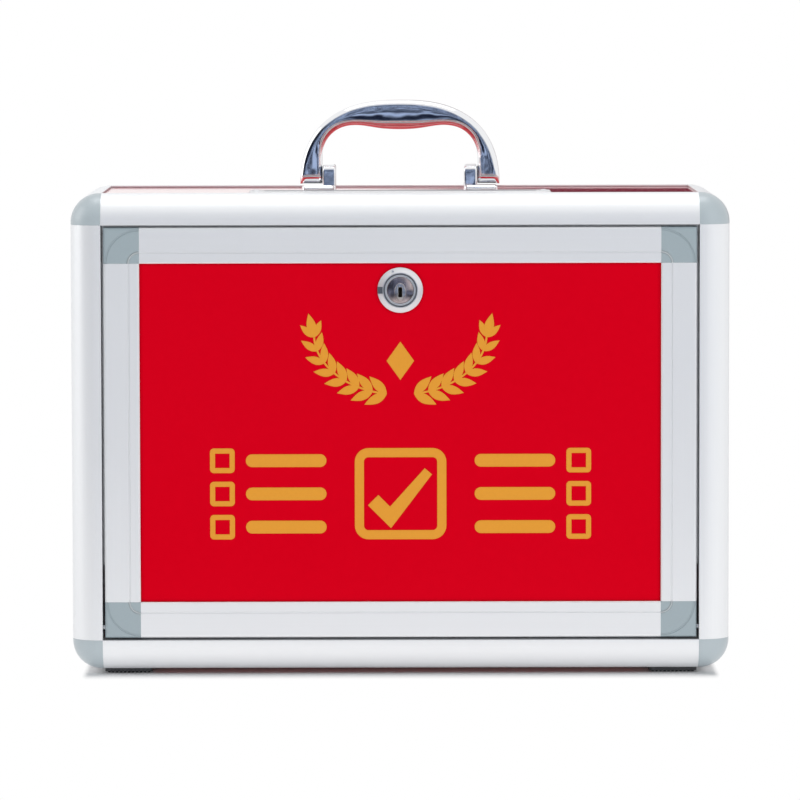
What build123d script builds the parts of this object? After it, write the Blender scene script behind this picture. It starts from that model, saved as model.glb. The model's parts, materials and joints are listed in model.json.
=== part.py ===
from build123d import *
import os

# Portable ballot box: an aluminium frame of rounded edge rails and moulded corners, red board
# walls, a slotted top with a folding handle, and a front door that hinges at its bottom edge
# and is held by a cam lock. Millimetres, +Z up. The front faces -Y, and the origin is on the
# table under the middle of the box.

os.makedirs("parts", exist_ok=True)

# Overall size
width = 360
depth = 140
body_height = 261
foot_lift = 3  # the frame stands this far above the table

# Edge rails: a hollow extrusion, quarter-round outside, with a groove for each wall panel
rail = 17
rail_round = 16
rail_wall = 1.6
groove_depth = 6
groove_play = 0.1  # round a panel's edge in its groove, and at its notched corners
panel_recess = 1  # the rail's edge stands this far proud of its panel
panel_thickness = 3

# Moulded corners: a ball corner with a tenon into each of its three rails
tenon_length = 14
tenon_play = 0.15

# Stop lip behind the door, on the top rail and the posts
lip_reach = 5
lip_thickness = 1.5
lip_foot = 40  # the posts' lips start this far above the door's opening
lip_joint = 0.3  # gap between the top rail's lip and those of the posts

# Door
door_gap = 1.3
door_recess = 1
door_thickness = 14
door_rail = 19.6
door_edge_round = 1.5
door_inner_bevel = 0.7
door_frame_wall = 1.5  # front wall, rear leg and the other walls of the door's rails
door_box = 12  # width of the hollow box behind the face of a door rail
door_groove_depth = 5.5
bead_inset = 5.8  # the fine bead groove, from the rail's inner edge
bead_width = 0.8
bead_depth = 0.3
door_tenon_length = 12
small_arc = 6  # relief arcs on the door's corner pieces
large_arc = 18.2
arc_width = 0.9
arc_relief = 0.3

# Door hinge: a pin at each side, fixed in the post
hinge_rise = 5.5  # above the door's bottom edge
hinge_inset = 4.5  # behind the door's face
hinge_pin_radius = 1.5
hinge_pin_play = 0.05
hinge_pin_in_post = 5
hinge_pin_in_door = 8
hinge_pin_end_gap = 0.6
fixed_pin_play = 0.02

# Ballot slot and its bezel
slot_length = 150
slot_width = 9
slot_setback = 21.5  # middle of the slot behind the panel's front edge
bezel_end = 8  # from the slot's end to the bezel's
bezel_width = 25
bezel_thickness = 1.2
bezel_corner = 2
bezel_edge = 0.5
collar_wall = 1
collar_drop = 1  # below the panel's underside
rivet_radius = 1.6
rivet_head_radius = 2.6
rivet_head_height = 0.7
rivet_inset = 4  # from the bezel's end

# Handle: a cast chrome arch with a bellied grip, standing outside its two lugs
handle_span = 110.8
handle_rise = 50.4  # top of the grip above the panel
handle_leg = 12.2
handle_leg_depth = 10
handle_grip_depth = 15.6
handle_outer_round = 4
handle_inner_round = 3.9
grip_arch = 36.4  # the highest stretches of the finger gap
grip_belly = 34  # its lowest stretch, at the middle

# Lugs that carry the handle
lug_thickness = 7.4
lug_height = 14.6
lug_depth = 13
lug_corner = 2.5
lug_side_gap = 0.3
lug_base_thickness = 3
lug_base_length = 18.8
lug_base_depth = 16
lug_base_edge = 0.8
lug_edge = 1.2  # round along the ear's rim
handle_pivot_rise = 8.9
handle_pin_radius = 2
handle_pin_play = 0.05
handle_pin_in_leg = 7

# Machine screws of the lugs, from inside the box
lug_screw_radius = 1.5
lug_screw_head_radius = 2.8
lug_screw_head = 2
lug_screw_bite = 4.6
lug_screw_spacing = 7  # between the two screws of a lug
screw_play = 0.1

# Feet, their screws and nuts
foot_side = 26.2
foot_edge_gap = 0.3  # between a foot and the rails beside it
foot_corner = 2
foot_rib = 1.1
foot_rib_pitch = 2.2
foot_rib_count = 11
foot_rib_depth = 0.9
foot_screw_radius = 1.5
foot_screw_head_radius = 2.8
foot_screw_head = 1.6
foot_bore_depth = 2.2
foot_bore_gap = 0.3
foot_screw_end = 1.2  # past its nut
foot_nut_flats = 5.5
foot_nut_thickness = 2.4

# Cam lock
lock_drop = 34.3  # lock's axis below the door's top edge
ring_radius = 12.4
ring_rim = 0.7  # straight part of the ring's side, below its cone
ring_land_radius = 9.6  # the cone rises to this radius
ring_edge = 0.3
ring_groove_radius = 8.8
ring_groove_width = 0.8
ring_groove_depth = 1
ring_notch_reach = 2.8  # at nine o'clock, in from the ring's side
ring_notch_height = 3.8
ring_notch_depth = 2
ring_mark_radius = 0.6  # a punched mark at eleven o'clock
ring_mark_from_axis = 10.9
ring_mark_depth = 1.6
ring_mark_angle = 112
barrel_radius = 8.8
barrel_flats = 15.4
barrel_end_gap = 0.5  # between the barrel's end and the cam
barrel_play = 0.2
plug_face_radius = 7.3
plug_face_thickness = 1.1
plug_face_sink = 0.5
plug_radius = 6.5
plug_play = 0.06
boss_half_width = 3.1
boss_half_height = 4.9
keyhole_drop = 1.1  # its middle below the lock's axis, and the boss's too
keyhole_width = 2.2
keyhole_height = 5.6
keyhole_depth = 9
lock_nut_flats = 22
lock_nut_thickness = 3
cam_thickness = 2
cam_gap = 0.4  # between the cam and the lip that it locks behind
cam_reach = 38
cam_hub_radius = 8
cam_tip_radius = 5
cam_square = 7
cam_square_play = 0.05
cam_screw_radius = 1.5
cam_screw_head_radius = 4.5
cam_screw_head = 1.6
cam_screw_bite = 5

overrun = 1  # how far a cut runs past the face that it opens

# Places worked out from the sizes
half_width = width / 2
half_depth = depth / 2
base_z = foot_lift
top_z = foot_lift + body_height
mid_z = foot_lift + body_height / 2
panel_top_z = top_z - panel_recess
panel_under_z = panel_top_z - panel_thickness
floor_under_z = base_z + panel_recess
floor_top_z = floor_under_z + panel_thickness
inner_width = width - 2 * rail
inner_depth = depth - 2 * rail
inner_height = body_height - 2 * rail
groove_floor = rail - groove_depth
groove_outer = panel_recess - groove_play
groove_inner = panel_recess + panel_thickness + groove_play
rail_leg = groove_inner + rail_wall
web_line = rail + rail_leg  # the inner web runs where the two insets add up to this
tongue = groove_depth - groove_play
square_root_of_two = 2 ** 0.5

opening_bottom_z = base_z + rail
opening_top_z = top_z - rail
frame_front = -half_depth
frame_rear_of_front = frame_front + rail

door_front = frame_front + door_recess
door_back = door_front + door_thickness
door_width = inner_width - 2 * door_gap
door_bottom_z = opening_bottom_z + door_gap
door_top_z = opening_top_z - door_gap
door_height = door_top_z - door_bottom_z
door_mid_z = (door_bottom_z + door_top_z) / 2
hinge_y = door_front + hinge_inset
hinge_z = door_bottom_z + hinge_rise

x_in = {"left": (1, 0, 0), "right": (-1, 0, 0)}
y_in = {"front": (0, 1, 0), "back": (0, -1, 0)}
z_in = {"bottom": (0, 0, 1), "top": (0, 0, -1)}
x_at = {"left": -half_width, "right": half_width}
y_at = {"front": -half_depth, "back": half_depth}
z_at = {"bottom": base_z, "top": top_z}
x_sign = {"left": -1, "right": 1}


def save(piece, name):
    """Name a finished piece and write it out."""
    piece.part.label = name
    export_step(piece.part, f"parts/{name}.step")


def section_plane(origin, inward_a, inward_b):
    """A plane square to an edge, its X and Y running inwards from the edge's two outer faces."""
    return Plane(origin=origin, x_dir=inward_a, z_dir=Vector(*inward_a).cross(Vector(*inward_b)))


# Sections of the edge rails. X and Y run inwards from the two outer faces.


def hollow_section(is_front, play):
    """The hollow of a rail, or a tenon that fits it with the given play."""
    inset = rail_wall + play
    with BuildSketch() as hollow:
        with Locations((rail_round, rail_round)):
            Circle(rail_round - inset)
        if is_front:
            Rectangle(rail - inset, rail - inset, align=Align.MIN, mode=Mode.INTERSECT)
        else:
            web_inner = web_line - inset * square_root_of_two
            with BuildLine():
                Polyline((0, 0), (web_inner, 0), (0, web_inner), close=True)
            make_face(mode=Mode.INTERSECT)
            with Locations((0, groove_floor - inset)):
                Rectangle(groove_inner + inset, rail, align=Align.MIN, mode=Mode.SUBTRACT)
        with Locations((groove_floor - inset, 0)):
            Rectangle(rail, groove_inner + inset, align=Align.MIN, mode=Mode.SUBTRACT)
    return hollow.sketch


def rail_section(is_front):
    """A whole rail: closed round two panel grooves, or, round the door, square with one."""
    with BuildSketch() as section:
        Rectangle(rail, rail, align=Align.MIN)
        fillet(section.vertices().sort_by_distance((0, 0))[0], rail_round)
        with Locations((groove_floor, groove_outer)):
            Rectangle(rail, groove_inner - groove_outer, align=Align.MIN, mode=Mode.SUBTRACT)
        if not is_front:
            with Locations((groove_outer, groove_floor)):
                Rectangle(groove_inner - groove_outer, rail, align=Align.MIN, mode=Mode.SUBTRACT)
            with BuildLine():
                Polyline((rail, rail_leg), (rail, rail), (rail_leg, rail), close=True)
            make_face(mode=Mode.SUBTRACT)
        add(hollow_section(is_front, 0), mode=Mode.SUBTRACT)
    return section.sketch


wall_section = rail_section(False)
front_section = rail_section(True)
wall_tenon = hollow_section(False, tenon_play)
front_tenon = hollow_section(True, tenon_play)

# Rails of the back and of the four edges that run front to back
wall_rails = {}
for level in ("top", "bottom"):
    wall_rails[f"back_{level}_rail"] = (
        (0, half_depth, z_at[level]), y_in["back"], z_in[level], inner_width)
    for side in ("left", "right"):
        wall_rails[f"{side}_{level}_rail"] = (
            (x_at[side], 0, z_at[level]), x_in[side], z_in[level], inner_depth)
for side in ("left", "right"):
    wall_rails[f"back_{side}_post"] = (
        (x_at[side], half_depth, mid_z), y_in["back"], x_in[side], inner_height)

for name, (middle, inward_a, inward_b, length) in wall_rails.items():
    with BuildPart() as wall_rail:
        with BuildSketch(section_plane(middle, inward_a, inward_b)):
            add(wall_section)
        extrude(amount=length / 2, both=True)
    save(wall_rail, name)

# Rails round the door, with the stop lip on the top one
for level in ("top", "bottom"):
    with BuildPart() as front_rail:
        with BuildSketch(section_plane((0, frame_front, z_at[level]), y_in["front"], z_in[level])):
            add(front_section)
        extrude(amount=inner_width / 2, both=True)
        if level == "top":
            with Locations((0, frame_rear_of_front, opening_top_z)):
                Box(inner_width, lip_thickness, lip_reach, align=(Align.CENTER, Align.MAX, Align.MAX))
    save(front_rail, f"front_{level}_rail")

# Posts beside the door, each with its lip and the hole of a hinge pin
lip_bottom_z = opening_bottom_z + lip_foot
lip_top_z = opening_top_z - lip_reach - lip_joint
for side in ("left", "right"):
    inner_face = x_at[side] - x_sign[side] * rail
    with BuildPart() as front_post:
        with BuildSketch(section_plane((x_at[side], frame_front, mid_z), y_in["front"], x_in[side])):
            add(front_section)
        extrude(amount=inner_height / 2, both=True)
        with Locations((inner_face - x_sign[side] * lip_reach / 2, frame_rear_of_front, lip_bottom_z)):
            Box(lip_reach, lip_thickness, lip_top_z - lip_bottom_z,
                align=(Align.CENTER, Align.MAX, Align.MIN))
        with BuildSketch(Plane(origin=(inner_face, hinge_y, hinge_z), z_dir=(x_sign[side], 0, 0))):
            Circle(hinge_pin_radius + fixed_pin_play)
        extrude(amount=rail_wall + overrun, mode=Mode.SUBTRACT)
    save(front_post, f"front_{side}_post")

# Moulded ball corners with their three tenons
for side in ("left", "right"):
    for face in ("front", "back"):
        for level in ("top", "bottom"):
            outer = Vector(x_at[side], y_at[face], z_at[level])
            in_x, in_y, in_z = (Vector(*d) for d in (x_in[side], y_in[face], z_in[level]))
            door_tenon = front_tenon if face == "front" else wall_tenon
            sides = zip((in_x.X, in_y.Y, in_z.Z), (Align.MIN,) * 3, (Align.MAX,) * 3)
            with BuildPart() as ball_corner:
                with Locations(outer):
                    Box(rail, rail, rail, align=tuple(low if s > 0 else high for s, low, high in sides))
                fillet(ball_corner.edges().sort_by_distance(outer)[0:3], rail_round)
                with BuildSketch(section_plane(outer + in_x * rail, in_y, in_z)):
                    add(door_tenon)
                extrude(amount=tenon_length, dir=in_x)
                with BuildSketch(section_plane(outer + in_z * rail, in_y, in_x)):
                    add(door_tenon)
                extrude(amount=tenon_length, dir=in_z)
                with BuildSketch(section_plane(outer + in_y * rail, in_x, in_z)):
                    add(wall_tenon)
                extrude(amount=tenon_length, dir=in_y)
                if face == "front" and level == "bottom":
                    with BuildSketch(Plane(origin=(outer.X + in_x.X * rail, hinge_y, hinge_z), z_dir=-in_x)):
                        Circle(hinge_pin_radius + fixed_pin_play)
                    extrude(amount=rail, mode=Mode.SUBTRACT)
            save(ball_corner, f"corner_{face}_{side}_{level}")

# Places on the top
slot_y = frame_rear_of_front + slot_setback
bezel_length = slot_length + 2 * bezel_end
rivet_x = bezel_length / 2 - rivet_inset
lug_outer_x = handle_span / 2 - handle_leg - lug_side_gap
lug_inner_x = lug_outer_x - lug_thickness
lug_x = (lug_outer_x + lug_inner_x) / 2
pivot_z = panel_top_z + handle_pivot_rise

# Places of the feet
foot_x = half_width - rail - foot_edge_gap - foot_side / 2
foot_y = half_depth - rail - foot_edge_gap - foot_side / 2


def panel_outline(size_a, size_b):
    """A wall panel: its visible size and a tongue all round, notched for the corner pieces."""
    with BuildSketch() as outline:
        Rectangle(size_a + 2 * tongue, size_b + 2 * tongue)
        notch = tongue + groove_play
        with GridLocations(size_a + tongue - groove_play, size_b + tongue - groove_play, 2, 2):
            Rectangle(notch, notch, mode=Mode.SUBTRACT)
    return outline.sketch


side_outline = panel_outline(inner_depth, inner_height)
level_outline = panel_outline(inner_width, inner_depth)
back_outline = panel_outline(inner_width, inner_height)

with BuildPart() as left_panel:
    with BuildSketch(Plane(origin=(panel_recess - half_width, 0, mid_z), x_dir=(0, 1, 0), z_dir=(1, 0, 0))):
        add(side_outline)
    extrude(amount=panel_thickness)
save(left_panel, "left_panel")

with BuildPart() as right_panel:
    mirror(left_panel.part, about=Plane.YZ)
save(right_panel, "right_panel")

with BuildPart() as back_panel:
    with BuildSketch(Plane(origin=(0, half_depth - panel_recess, mid_z), x_dir=(1, 0, 0), z_dir=(0, -1, 0))):
        add(back_outline)
    extrude(amount=panel_thickness)
save(back_panel, "back_panel")

with BuildPart() as bottom_panel:
    with BuildSketch(Plane.XY.offset(floor_under_z)):
        add(level_outline)
        with GridLocations(2 * foot_x, 2 * foot_y, 2, 2):
            Circle(foot_screw_radius + screw_play, mode=Mode.SUBTRACT)
    extrude(amount=panel_thickness)
save(bottom_panel, "bottom_panel")

with BuildPart() as top_panel:
    with BuildSketch(Plane.XY.offset(panel_under_z)):
        add(level_outline)
        with Locations((0, slot_y)):
            Rectangle(slot_length + 2 * (collar_wall + groove_play),
                      slot_width + 2 * (collar_wall + groove_play), mode=Mode.SUBTRACT)
        with Locations((-rivet_x, slot_y), (rivet_x, slot_y)):
            Circle(rivet_radius + screw_play, mode=Mode.SUBTRACT)
        with GridLocations(2 * lug_x, lug_screw_spacing, 2, 2):
            Circle(lug_screw_radius + screw_play, mode=Mode.SUBTRACT)
    extrude(amount=panel_thickness)
save(top_panel, "top_panel")

# Slot bezel: a thin plate on the top with a collar that lines the cut in the panel
with BuildPart() as slot_bezel:
    with BuildSketch(Plane.XY.offset(panel_top_z)):
        with Locations((0, slot_y)):
            RectangleRounded(bezel_length, bezel_width, bezel_corner)
    extrude(amount=bezel_thickness)
    chamfer(slot_bezel.faces().sort_by(Axis.Z)[-1].edges(), bezel_edge)
    with BuildSketch(Plane.XY.offset(panel_top_z)):
        with Locations((0, slot_y)):
            Rectangle(slot_length + 2 * collar_wall, slot_width + 2 * collar_wall)
    extrude(amount=-(panel_thickness + collar_drop))
    with BuildSketch(Plane.XY.offset(panel_top_z + bezel_thickness)):
        with Locations((0, slot_y)):
            Rectangle(slot_length, slot_width)
        with Locations((-rivet_x, slot_y), (rivet_x, slot_y)):
            Circle(rivet_radius + screw_play)
    extrude(amount=-(bezel_thickness + panel_thickness + collar_drop), mode=Mode.SUBTRACT)
save(slot_bezel, "slot_bezel")

# Two domed rivets hold the bezel, formed over below the panel
with BuildPart() as slot_rivets:
    with Locations((-rivet_x, slot_y, panel_under_z), (rivet_x, slot_y, panel_under_z)):
        Cylinder(rivet_radius, panel_thickness + bezel_thickness,
                 align=(Align.CENTER, Align.CENTER, Align.MIN))
        Cylinder(rivet_head_radius, rivet_head_height, align=(Align.CENTER, Align.CENTER, Align.MAX))
    with Locations(*((x, slot_y, panel_top_z + bezel_thickness) for x in (-rivet_x, rivet_x))):
        Cone(rivet_head_radius, rivet_radius, rivet_head_height,
             align=(Align.CENTER, Align.CENTER, Align.MIN))
save(slot_rivets, "slot_rivets")

# Feet: ribbed pads under the bottom panel, beside the rails
foot_total = foot_lift + panel_recess
for side in ("left", "right"):
    for face, y_sign in (("front", -1), ("back", 1)):
        middle_x, middle_y = x_sign[side] * foot_x, y_sign * foot_y
        with BuildPart() as foot:
            with BuildSketch(Plane.XY.offset(foot_rib_depth)):
                with Locations((middle_x, middle_y)):
                    RectangleRounded(foot_side, foot_side, foot_corner)
            extrude(amount=foot_total - foot_rib_depth)
            with BuildSketch():
                with Locations((middle_x, middle_y)):
                    with GridLocations(foot_rib_pitch, 0, foot_rib_count, 1):
                        Rectangle(foot_rib, foot_side - 2 * foot_corner)
            extrude(amount=foot_rib_depth)
            with BuildSketch():
                with Locations((middle_x, middle_y)):
                    Circle(foot_screw_head_radius + foot_bore_gap)
            extrude(amount=foot_bore_depth, mode=Mode.SUBTRACT)
            with BuildSketch():
                with Locations((middle_x, middle_y)):
                    Circle(foot_screw_radius + screw_play)
            extrude(amount=foot_total, mode=Mode.SUBTRACT)
        save(foot, f"foot_{face}_{side}")

foot_places = [(x, y) for x in (-foot_x, foot_x) for y in (-foot_y, foot_y)]
with BuildPart() as foot_screws:
    with Locations(*((x, y, foot_bore_depth) for x, y in foot_places)):
        Cylinder(foot_screw_head_radius, foot_screw_head, align=(Align.CENTER, Align.CENTER, Align.MAX))
        Cylinder(foot_screw_radius, floor_top_z + foot_nut_thickness + foot_screw_end - foot_bore_depth,
                 align=(Align.CENTER, Align.CENTER, Align.MIN))
save(foot_screws, "foot_screws")

with BuildPart() as foot_nuts:
    with BuildSketch(Plane.XY.offset(floor_top_z)):
        with Locations(*foot_places):
            RegularPolygon(foot_nut_flats / 2, 6, major_radius=False)
            Circle(foot_screw_radius + screw_play, mode=Mode.SUBTRACT)
    extrude(amount=foot_nut_thickness)
save(foot_nuts, "foot_nuts")

# Lugs: an upright ear on a flat base, drilled for the pivot pin and tapped from below
for side in ("left", "right"):
    toward = x_sign[side]
    with BuildPart() as ear:
        with BuildSketch(Plane(origin=(toward * lug_inner_x, 0, panel_top_z), x_dir=(0, 1, 0),
                               z_dir=(toward, 0, 0))) as ear_side:
            ear_rise = lug_height - lug_base_thickness / 2
            with Locations((0, toward * (lug_base_thickness / 2 + ear_rise / 2))):
                Rectangle(lug_depth, ear_rise)
            fillet(ear_side.vertices().group_by(Axis.Y)[-1 if toward > 0 else 0], lug_depth / 2 - lug_corner)
        extrude(amount=lug_thickness)
        fillet(ear.faces().filter_by(Axis.X).edges(), lug_edge)
    with BuildPart() as lug:
        with BuildSketch(Plane.XY.offset(panel_top_z)):
            with Locations((toward * (lug_inner_x + lug_base_length / 2), 0)):
                RectangleRounded(lug_base_length, lug_base_depth, lug_corner)
        extrude(amount=lug_base_thickness)
        chamfer(lug.faces().sort_by(Axis.Z)[-1].edges(), lug_base_edge)
        add(ear.part)
        with BuildSketch(Plane(origin=(toward * lug_inner_x, 0, pivot_z), z_dir=(toward, 0, 0))):
            Circle(handle_pin_radius + fixed_pin_play)
        extrude(amount=lug_thickness, mode=Mode.SUBTRACT)
        with BuildSketch(Plane.XY.offset(panel_top_z)):
            with Locations(*((toward * lug_x, y) for y in (-lug_screw_spacing / 2, lug_screw_spacing / 2))):
                Circle(lug_screw_radius + screw_play)
        extrude(amount=lug_screw_bite, mode=Mode.SUBTRACT)
    save(lug, f"handle_lug_{side}")

    with BuildPart() as handle_pin:
        with BuildSketch(Plane(origin=(toward * lug_inner_x, 0, pivot_z), z_dir=(toward, 0, 0))):
            Circle(handle_pin_radius)
        extrude(amount=lug_thickness + lug_side_gap + handle_pin_in_leg)
    save(handle_pin, f"handle_pin_{side}")

with BuildPart() as lug_screws:
    with Locations((0, 0, panel_under_z)):
        with GridLocations(2 * lug_x, lug_screw_spacing, 2, 2):
            Cylinder(lug_screw_head_radius, lug_screw_head, align=(Align.CENTER, Align.CENTER, Align.MAX))
            Cylinder(lug_screw_radius, panel_thickness + lug_screw_bite - screw_play,
                     align=(Align.CENTER, Align.CENTER, Align.MIN))
save(lug_screws, "lug_screws")

# Handle. The outer arch runs up from a leg to the crown, and the finger gap has a belly in its
# middle. Shares are of the half span and of the rise for the arch, and of the gap's half width
# and its straight height for the gap.
arch_shares = ((0.955, 0.43), (0.775, 0.745), (0.42, 0.953))
gap_shoulder_shares = ((0.95, 0.75), (0.80, 0.935))
gap_high_share = 0.575
gap_flank_shares = ((0.28, 0.34),)
gap_straight_share = 0.48
half_span = handle_span / 2
gap_half = half_span - handle_leg
leg_half = handle_leg_depth / 2
leg_end_z = pivot_z - leg_half - overrun
crown_z = panel_top_z + handle_rise
arch_z = panel_top_z + grip_arch
belly_z = panel_top_z + grip_belly
with BuildPart() as handle:
    with BuildSketch(Plane.XZ.offset(-handle_grip_depth / 2)):
        with BuildLine():
            Spline((half_span, leg_end_z),
                   *((a * half_span, panel_top_z + b * handle_rise) for a, b in arch_shares),
                   (0, crown_z), tangents=((0, 1), (-1, 0)))
            Line((half_span, leg_end_z), (gap_half, leg_end_z))
            gap_turn = (gap_half, panel_top_z + gap_straight_share * grip_arch)
            Line((gap_half, leg_end_z), gap_turn)
            Spline(gap_turn,
                   *((a * gap_half, panel_top_z + b * grip_arch) for a, b in gap_shoulder_shares),
                   (gap_high_share * gap_half, arch_z), tangents=((0, 1), (-1, 0)))
            Spline((gap_high_share * gap_half, arch_z),
                   *((a * gap_half, belly_z + b * (arch_z - belly_z)) for a, b in gap_flank_shares),
                   (0, belly_z), tangents=((-1, 0), (-1, 0)))
            mirror(about=Plane.YZ)
        make_face()
    extrude(amount=handle_grip_depth)
    # Seen from the side the legs are round about their pins and spread towards the grip.
    with BuildSketch(Plane.YZ):
        with BuildLine():
            CenterArc((0, pivot_z), leg_half, 0, 360)
            Line((-handle_grip_depth / 2, crown_z + overrun), (handle_grip_depth / 2, crown_z + overrun))
        make_hull()
    extrude(amount=half_span + overrun, both=True, mode=Mode.INTERSECT)
    fillet(handle.faces().sort_by(Axis.Z)[-1].edges(), handle_outer_round)
    gap_walls = handle.faces().filter_by(Axis.X)
    gap_walls += handle.faces().filter_by(GeomType.EXTRUSION).sort_by(Axis.Z)[0:1]
    fillet(ShapeList(gap_walls.edges()).filter_by(Axis.Y, reverse=True), handle_inner_round)
    for side in ("left", "right"):
        with BuildSketch(Plane(origin=(x_sign[side] * gap_half, 0, pivot_z), z_dir=(x_sign[side], 0, 0))):
            Circle(handle_pin_radius + handle_pin_play)
        extrude(amount=handle_pin_in_leg + lug_side_gap, mode=Mode.SUBTRACT)
save(handle, "handle")

# Door rails. X of the section runs inwards from the door's edge and Y back from its face.
panel_front = door_frame_wall
panel_back = panel_front + panel_thickness
rail_rear = panel_back + groove_play + door_frame_wall
groove_start = door_rail - door_groove_depth


def door_hollow(play):
    """The hollow behind the face of a door rail, or a tenon that fits it with the given play."""
    inset = door_frame_wall + play
    with BuildSketch() as hollow:
        with Locations((inset, inset)):
            Rectangle(door_box - 2 * inset, door_thickness - 2 * inset, align=Align.MIN)
    return hollow.sketch


def door_rail_section():
    """A door rail: a box at the outer side and a grooved flange that holds the door's panel."""
    with BuildSketch() as section:
        Rectangle(door_box, door_thickness, align=Align.MIN)
        Rectangle(door_rail, rail_rear, align=Align.MIN)
        fillet(section.vertices().sort_by_distance((0, 0))[0], door_edge_round)
        chamfer(section.vertices().sort_by_distance((door_rail, 0))[0], door_inner_bevel)
        with Locations((groove_start, panel_front - groove_play)):
            Rectangle(door_rail, panel_thickness + 2 * groove_play, align=Align.MIN, mode=Mode.SUBTRACT)
        with Locations((door_rail - bead_inset, 0)):
            Rectangle(bead_width, 2 * bead_depth, mode=Mode.SUBTRACT)
        add(door_hollow(0), mode=Mode.SUBTRACT)
    return section.sketch


door_section = door_rail_section()
door_tenon_section = door_hollow(tenon_play)
door_x = door_width / 2
door_edges = {
    "door_top_rail": ((0, door_front, door_top_z), z_in["top"], door_width),
    "door_bottom_rail": ((0, door_front, door_bottom_z), z_in["bottom"], door_width),
    "door_left_rail": ((-door_x, door_front, door_mid_z), x_in["left"], door_height),
    "door_right_rail": ((door_x, door_front, door_mid_z), x_in["right"], door_height),
}
for name, (middle, inward, length) in door_edges.items():
    with BuildPart() as door_edge:
        with BuildSketch(section_plane(middle, inward, y_in["front"])):
            add(door_section)
        extrude(amount=length / 2 - door_rail, both=True)
    save(door_edge, name)

# Corner pieces of the door, with relief arcs about the inner corner and a tenon into each rail.
# The lower two have the bores that turn on the hinge pins.
for side in ("left", "right"):
    for level in ("top", "bottom"):
        in_x, in_z = Vector(*x_in[side]), Vector(*z_in[level])
        edge_z = door_top_z if level == "top" else door_bottom_z
        outer = Vector(x_sign[side] * door_x, door_front, edge_z)
        inner = outer + in_x * door_rail + in_z * door_rail
        middle = (outer + inner) * 0.5
        with BuildPart() as door_corner:
            with Locations(middle):
                Box(door_rail, door_thickness, door_rail, align=(Align.CENTER, Align.MIN, Align.CENTER))
            # The rear inner part is cut back like the rails' flanges.
            rear_cut = door_rail - door_box
            with Locations(inner + Vector(0, rail_rear, 0) - (in_x + in_z) * (rear_cut / 2)):
                Box(rear_cut, door_thickness, rear_cut, align=(Align.CENTER, Align.MIN, Align.CENTER),
                    mode=Mode.SUBTRACT)
            front_edges = door_corner.faces().sort_by(Axis.Y)[0].edges()
            fillet(front_edges.sort_by_distance(outer)[0:2], door_edge_round)
            # The panel's corner sits in a pocket in line with the rails' grooves.
            pocket = door_groove_depth
            with Locations(inner + Vector(0, panel_front - groove_play, 0) - (in_x + in_z) * (pocket / 2)):
                Box(pocket, panel_thickness + 2 * groove_play, pocket,
                    align=(Align.CENTER, Align.MIN, Align.CENTER), mode=Mode.SUBTRACT)
            with BuildSketch(Plane(origin=outer, x_dir=in_x, z_dir=in_x.cross(in_z))) as arcs:
                with Locations((door_rail, door_rail)):
                    for radius in (small_arc, large_arc):
                        Circle(radius + arc_width / 2)
                        Circle(radius - arc_width / 2, mode=Mode.SUBTRACT)
                Rectangle(door_rail, door_rail, align=Align.MIN, mode=Mode.INTERSECT)
            extrude(amount=arc_relief, dir=y_in["front"], mode=Mode.SUBTRACT)
            with BuildSketch(section_plane(outer + in_x * door_rail, in_z, y_in["front"])):
                add(door_tenon_section)
            extrude(amount=door_tenon_length, dir=in_x)
            with BuildSketch(section_plane(outer + in_z * door_rail, in_x, y_in["front"])):
                add(door_tenon_section)
            extrude(amount=door_tenon_length, dir=in_z)
            if level == "bottom":
                with BuildSketch(Plane(origin=(outer.X, hinge_y, hinge_z), z_dir=in_x)):
                    Circle(hinge_pin_radius + hinge_pin_play)
                extrude(amount=hinge_pin_in_door, mode=Mode.SUBTRACT)
        save(door_corner, f"door_corner_{side}_{level}")

    with BuildPart() as hinge_pin:
        pin_start = inner_width / 2 + hinge_pin_in_post
        pin_length = hinge_pin_in_post + door_gap + hinge_pin_in_door - hinge_pin_end_gap
        with BuildSketch(Plane(origin=(x_sign[side] * pin_start, hinge_y, hinge_z), z_dir=x_in[side])):
            Circle(hinge_pin_radius)
        extrude(amount=pin_length)
    save(hinge_pin, f"hinge_pin_{side}")

# Lock, on an axis that runs from front to back
lock_z = door_top_z - lock_drop
lock_axis = Axis((0, 0, lock_z), (0, 1, 0))
panel_face = door_front + panel_front
ring_front = frame_front
cam_front = frame_rear_of_front + cam_gap
barrel_end = cam_front - barrel_end_gap


def barrel_sketch(radius, flats):
    """The lock barrel's round with two flats, or the hole in the panel that it keys into."""
    with BuildSketch() as barrel:
        Circle(radius)
        Rectangle(flats, 2 * radius, mode=Mode.INTERSECT)
    return barrel.sketch


barrel_outline = barrel_sketch(barrel_radius, barrel_flats)
barrel_hole = barrel_sketch(barrel_radius + barrel_play, barrel_flats + 2 * barrel_play)
door_panel_tongue = door_groove_depth - groove_play

with BuildPart() as door_panel:
    with BuildSketch(Plane(origin=(0, panel_face, door_mid_z), x_dir=(1, 0, 0), z_dir=(0, -1, 0))):
        Rectangle(door_width - 2 * (door_rail - door_panel_tongue),
                  door_height - 2 * (door_rail - door_panel_tongue))
        with Locations((0, lock_z - door_mid_z)):
            add(barrel_hole, mode=Mode.SUBTRACT)
    extrude(amount=-panel_thickness)
save(door_panel, "door_panel")

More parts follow.
